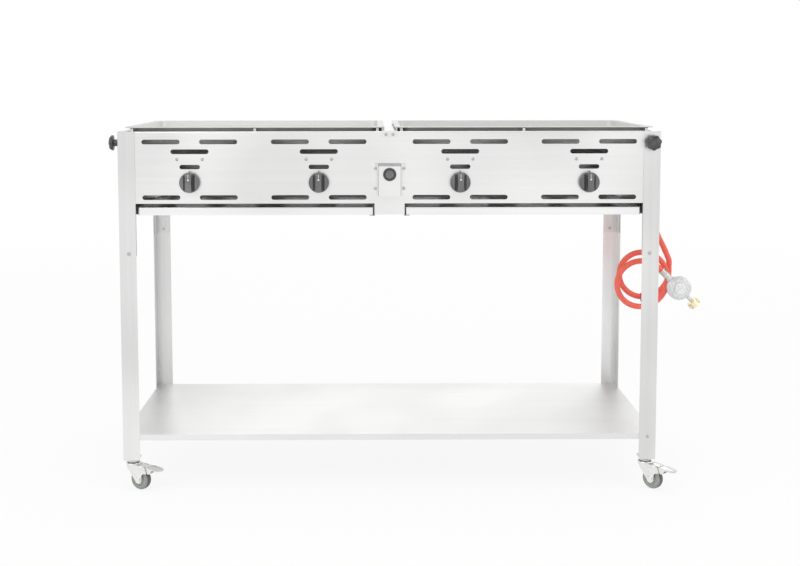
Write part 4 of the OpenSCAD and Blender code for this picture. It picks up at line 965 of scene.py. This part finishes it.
pan_outside = moulded("pan_outside", (0.94, 0.94, 0.93), (0.89, 0.89, 0.88), 0.60, 400, 0.1)
# The dark grey for the outside just under the rim is painted shade in the gap under the rim
pan_rim_shade = moulded("pan_rim_painted_shade", (0.30, 0.295, 0.285), (0.42, 0.415, 0.40), 0.60, 500, 0.1)
for side in ("left", "right"):
    low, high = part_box(f"griddle_pan_{side}")
    pan_floor = high.z - low.z - pan_t
    # Each loop is set in from the rim edge, below the rim, and has its own corner radius
    pan_loops = [
        (0.0240, pan_floor, 0.0140), (0.0210, pan_floor - 0.0005, 0.0170),
        (0.0184, pan_floor - 0.0024, 0.0196), (0.0166, pan_floor - 0.0050, 0.0214),
        (0.0160, pan_floor - 0.0080, 0.0220), (0.0160, 0.0014, 0.0220), (0.0156, 0.0005, 0.0224),
        (0.0148, 0, 0.0232), (0.0012, 0, 0.0108), (0.0004, 0.0003, 0.0116), (0, 0.0010, 0.0120),
        (0, 0.0016, 0.0120), (0.0004, 0.0022, 0.0116), (0.0012, pan_t, 0.0108), (0.0124, pan_t, 0.0256),
        (0.0132, 0.0029, 0.0248), (0.0135, 0.0037, 0.0245), (0.0135, pan_wall_depth, 0.0245),
        (0.0135, pan_floor - 0.0080, 0.0245), (0.0143, pan_floor - 0.0041, 0.0237),
        (0.0166, pan_floor - 0.0006, 0.0214), (0.0200, pan_floor + 0.0018, 0.0180),
        (0.0240, pan_floor + pan_t, 0.0140),
    ]
    pressed = lofted([
        rounded_loop(low + Vector((inset, inset, 0)), high - Vector((inset, inset, drop)), radius, 8)
        for inset, drop, radius in pan_loops
    ])
    pan = piece(f"pressed_pan_{side}", pressed, pan_steel, f"pan_{side}", 30)
    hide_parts(f"griddle_pan_{side}")
    pan.data.materials.append(pan_outside)
    pan.data.materials.append(pan_rim_shade)
    # Outer faces look away from the middle of the well, or down
    middle = (low + high) / 2
    for face in pan.data.polygons:
        away = (face.center.x - middle.x) * face.normal.x + (face.center.y - middle.y) * face.normal.y
        depth = high.z - face.center.z
        # The outside just under the rim takes the painted shade, and the rest of the outside the pale finish
        if depth > pan_t - 0.0001 and (away > 0 or face.normal.z < -0.5):
            face.material_index = 1 if depth > pan_wall_depth else 2
dress(stem_zinc, "pan_studs")

# The casters
# Pressed and plated swivel forks on a riveted ball race, each with a brake pedal.
# The wheels are grey-green rubber on a pale nylon core, and turn on a bolt with a lock nut.
cheek_y, cheek_t = 0.0115, 0.002
trail, axle_z, axle_half = 0.0225, 0.025, 0.0125
pedal_pin = Vector((0.030, 0, 0.056))
wheel_r, wheel_half = 0.025, 0.009
race_balls = 16
caster_zinc = cast_or_plated("caster_zinc", (0.86, 0.86, 0.84), (0.80, 0.80, 0.78), 0.22, 60, 0.03)
race_steel = cast_or_plated("race_steel", (0.20, 0.20, 0.20), (0.12, 0.12, 0.12), 0.30, 300)
side_rubber = moulded("wheel_rubber", (0.28, 0.31, 0.285), (0.34, 0.37, 0.34), 0.50, 700, 0.3)
# The tread is far darker than the walls of the same rubber: painted shade where it turns away from the lamps
tread_painted_shade = moulded("tread_painted_shade", (0.105, 0.115, 0.105), (0.15, 0.16, 0.15), 0.60, 500, 0.4)
wheel_nylon = moulded("wheel_nylon", (0.38, 0.41, 0.38), (0.44, 0.47, 0.44), 0.42, 1200, 0.1)


def plate(points, thick, edge=0.0004):
    """A flat plate lying on Z = 0 with its edges rounded, from its outline"""
    shape = lofted([[(x, y, z) for x, y in points] for z in (0, thick)])
    rims = [rim for rim in shape.edges if abs(rim.verts[0].co.z - rim.verts[1].co.z) < 1e-7]
    eased(shape, rims, edge)
    return shape


def arc(centre, radius, start, end, steps=14):
    """Points along an arc, by angles in degrees"""
    angles = [math.radians(start + (end - start) * k / steps) for k in range(steps + 1)]
    return [(centre[0] + radius * math.cos(a), centre[1] + radius * math.sin(a)) for a in angles]


def both_ways(half):
    """A profile from its half below height 0, with the same half above it"""
    return half + [(radius, -height) for radius, height in reversed(half)]


def upright(shape, y):
    """A flat shape with the place that stands it up at Y"""
    return shape, Matrix.Translation((0, y, 0)) @ facing_front


# The cheek narrows from the crown to a round end about the axle, and a guard runs back over the tyre
cheek = plate([
    (-0.012, 0.0592), (0.021, 0.0592), (0.0218, 0.0602), (0.036, 0.0602), (0.0415, 0.0560),
    (0.0450, 0.0470), (0.0455, 0.0410), *arc((0.0410, 0.0330), 0.0090, 60, 180, 10),
    *arc((trail, axle_z), 0.0095, -8.2, -143.2), (-0.012, 0.0552),
], cheek_t)
swage = bmesh.new()
bmesh.ops.create_uvsphere(swage, u_segments=24, v_segments=16, radius=1)
bmesh.ops.scale(swage, vec=(0.0032, 0.0095, 0.0009), verts=swage.verts)
swage_lean = Matrix.Rotation(math.radians(22), 4, "Z")
bmesh.ops.transform(swage, matrix=Matrix.Translation((0.012, 0.0455, 0)) @ swage_lean, verts=swage.verts)
crown = block((0.033, 0.025, 0.002), (0.0045, 0, 0.0602), 0.0006)
cup = turned([
    (0.0052, 0.0594), (0.0168, 0.0594), (0.0175, 0.0602), (0.0175, 0.0622), (0.0168, 0.0632),
    (0.0150, 0.0637), (0.0138, 0.0640), (0.0130, 0.0662), (0.0142, 0.0664), (0.0152, 0.0668),
    (0.0155, 0.0676), (0.0152, 0.0688), (0.0135, 0.0694), (0.0120, 0.0698), (0.0120, 0.0718),
    (0.0052, 0.0718),
], 72, ring=True)
axle = turned(both_ways([(0, -axle_half), (0.004, -axle_half)]), 32)
rivet = turned(both_ways([
    (0, -0.014), (0.0028, -0.0138), (0.0040, -0.0130), (0.0040, -axle_half), (0.0025, -axle_half),
]), 32)
washer = turned([(0.004, 0), (0.0080, 0), (0.0080, 0.0006), (0.0077, 0.0008), (0.004, 0.0008)])
bolt_head = turned(
    [(0, 0.0008), (0.0068, 0.0008), (0.0075, 0.0011), (0.0075, 0.0034), (0.0066, 0.0039), (0, 0.0039)], 6
)
lock_nut = turned(
    [(0, 0.0008), (0.0069, 0.0008), (0.0075, 0.0011), (0.0075, 0.0030), (0.0066, 0.0033), (0, 0.0033)], 6
)
nut_collar = turned([
    (0, 0.003), (0.0058, 0.003), (0.0058, 0.0036), (0.0050, 0.0040), (0.0036, 0.0040), (0.0036, 0.0037),
    (0, 0.0037),
], 32)
axle_place = Matrix.Translation((trail, 0, axle_z))
bolt_side = axle_place @ Matrix.Translation((0, -axle_half - 0.00005, 0)) @ facing_front
nut_side = axle_place @ Matrix.Translation((0, axle_half + 0.00005, 0)) @ facing_rear
fork_parts = [
    upright(cheek, -cheek_y + cheek_t / 2), upright(cheek, cheek_y + cheek_t / 2),
    upright(swage, -cheek_y - cheek_t / 2), upright(swage, cheek_y + cheek_t / 2), crown, cup,
    (axle, axle_place @ facing_rear), (rivet, Matrix.Translation(pedal_pin) @ facing_rear),
    (washer, bolt_side), (bolt_head, bolt_side),
    (washer, nut_side), (lock_nut, nut_side), (nut_collar, nut_side),
]
ball = bmesh.new()
bmesh.ops.create_icosphere(ball, subdivisions=2, radius=0.0012)
bmesh.ops.translate(ball, vec=(0.0140, 0, 0.0652), verts=ball.verts)
race_parts = [turned([(0.0137, 0.0638), (0.0137, 0.0665), (0.0132, 0.0665), (0.0132, 0.0638)], ring=True)]
race_parts += [(ball, Matrix.Rotation(math.tau * i / race_balls, 4, "Z")) for i in range(race_balls)]
pedal = plate([
    (-0.006, -0.010), (0.013, -0.010), (0.019, -0.0115), (0.025, -0.0150),
    *arc((0.041, 0), 0.015, -90, 90, 20),
    (0.025, 0.0150), (0.019, 0.0115), (0.013, 0.010), (-0.006, 0.010),
], 0.002, 0.0006)
pedal_slope = Matrix.Translation((0, 0, 0.0030)) @ Matrix.Rotation(math.radians(8), 4, "Y")
lug = plate([(0.0045, 0.0045), *arc((0, 0), 0.0045, 0, -180), (-0.0045, 0.0045)], 0.002)
pedal_side = plate([
    (0.002, 0.0022), (0.032, -0.0020), (0.0290, -0.0065), (0.0250, -0.0138), (0.0182, -0.0140),
    (0.0120, -0.0065), (0.002, -0.0030),
], 0.0012)
pedal_parts = [
    (pedal, pedal_slope),
    upright(lug, 0.010), upright(lug, -0.008), upright(pedal_side, -0.0089), upright(pedal_side, 0.0101),
    block((0.002, 0.019, 0.017), (0.015, 0, -0.003), 0.0004),
    block((0.0065, 0.0178, 0.0018), (0.0215, 0, -0.0130), 0.0004),
]
for x, width in ((0.034, 0.022), (0.040, 0.024), (0.046, 0.020)):
    pedal_parts.append((block((0.0022, width, 0.0016), (x, 0, 0.0020), 0.0006), pedal_slope))
tyre_walls = turned(both_ways([
    (0.0178, -0.0082), (0.0190, -wheel_half), (0.0213, -wheel_half), (0.0229, -0.0082), (0.0239, -0.0066),
]), 72, ring=True)
tread = turned(both_ways([
    (0.0232, -0.0064), (0.0241, -0.0062), (0.0247, -0.0040), (wheel_r, -0.0012),
]), 72, ring=True)
core = turned(both_ways([
    (0.0043, -0.0095), (0.0085, -0.0095), (0.0090, -0.0088), (0.0090, -0.0068), (0.0100, -0.0056),
    (0.0150, -0.0056), (0.0160, -0.0066), (0.0162, -0.0082), (0.0179, -0.0084),
]), 72, ring=True)
joint_of = {joint["name"]: joint for joint in frame["joints"]}
for corner in corners:
    spin = joint_of[f"wheel_spin_{corner}"]
    hub = Matrix.Translation(spin["pos_m"]) @ along(spin["axis"])
    swivel_x, swivel_y, _ = joint_of[f"swivel_{corner}"]["pos_m"]
    turned_by = math.atan2(spin["pos_m"][1] - swivel_y, spin["pos_m"][0] - swivel_x)
    stand = Matrix.Translation((swivel_x, swivel_y, 0)) @ Matrix.Rotation(turned_by, 4, "Z")
    fork_shape = joined(*fork_parts, place=stand)
    fork = piece(f"fork_{corner}", fork_shape, caster_zinc, f"swivel_{corner}")
    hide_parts(f"caster_fork_{corner}")
    race_shape = joined(*race_parts, place=stand)
    piece(f"ball_race_{corner}", race_shape, race_steel, f"swivel_{corner}")
    pedal_shape = joined(*pedal_parts, place=stand @ Matrix.Translation(pedal_pin))
    brake = piece(f"brake_pedal_{corner}", pedal_shape, caster_zinc, f"brake_{corner}")
    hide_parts(f"caster_brake_{corner}")
    wheel = f"wheel_{corner}"
    tyre = piece(f"tyre_{corner}", joined(tyre_walls, place=hub), side_rubber, wheel, 50)
    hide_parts(f"caster_wheel_{corner}")
    piece(f"tread_{corner}", joined(tread, place=hub), tread_painted_shade, wheel, 50)
    piece(f"wheel_core_{corner}", joined(core, place=hub), wheel_nylon, wheel, 40)
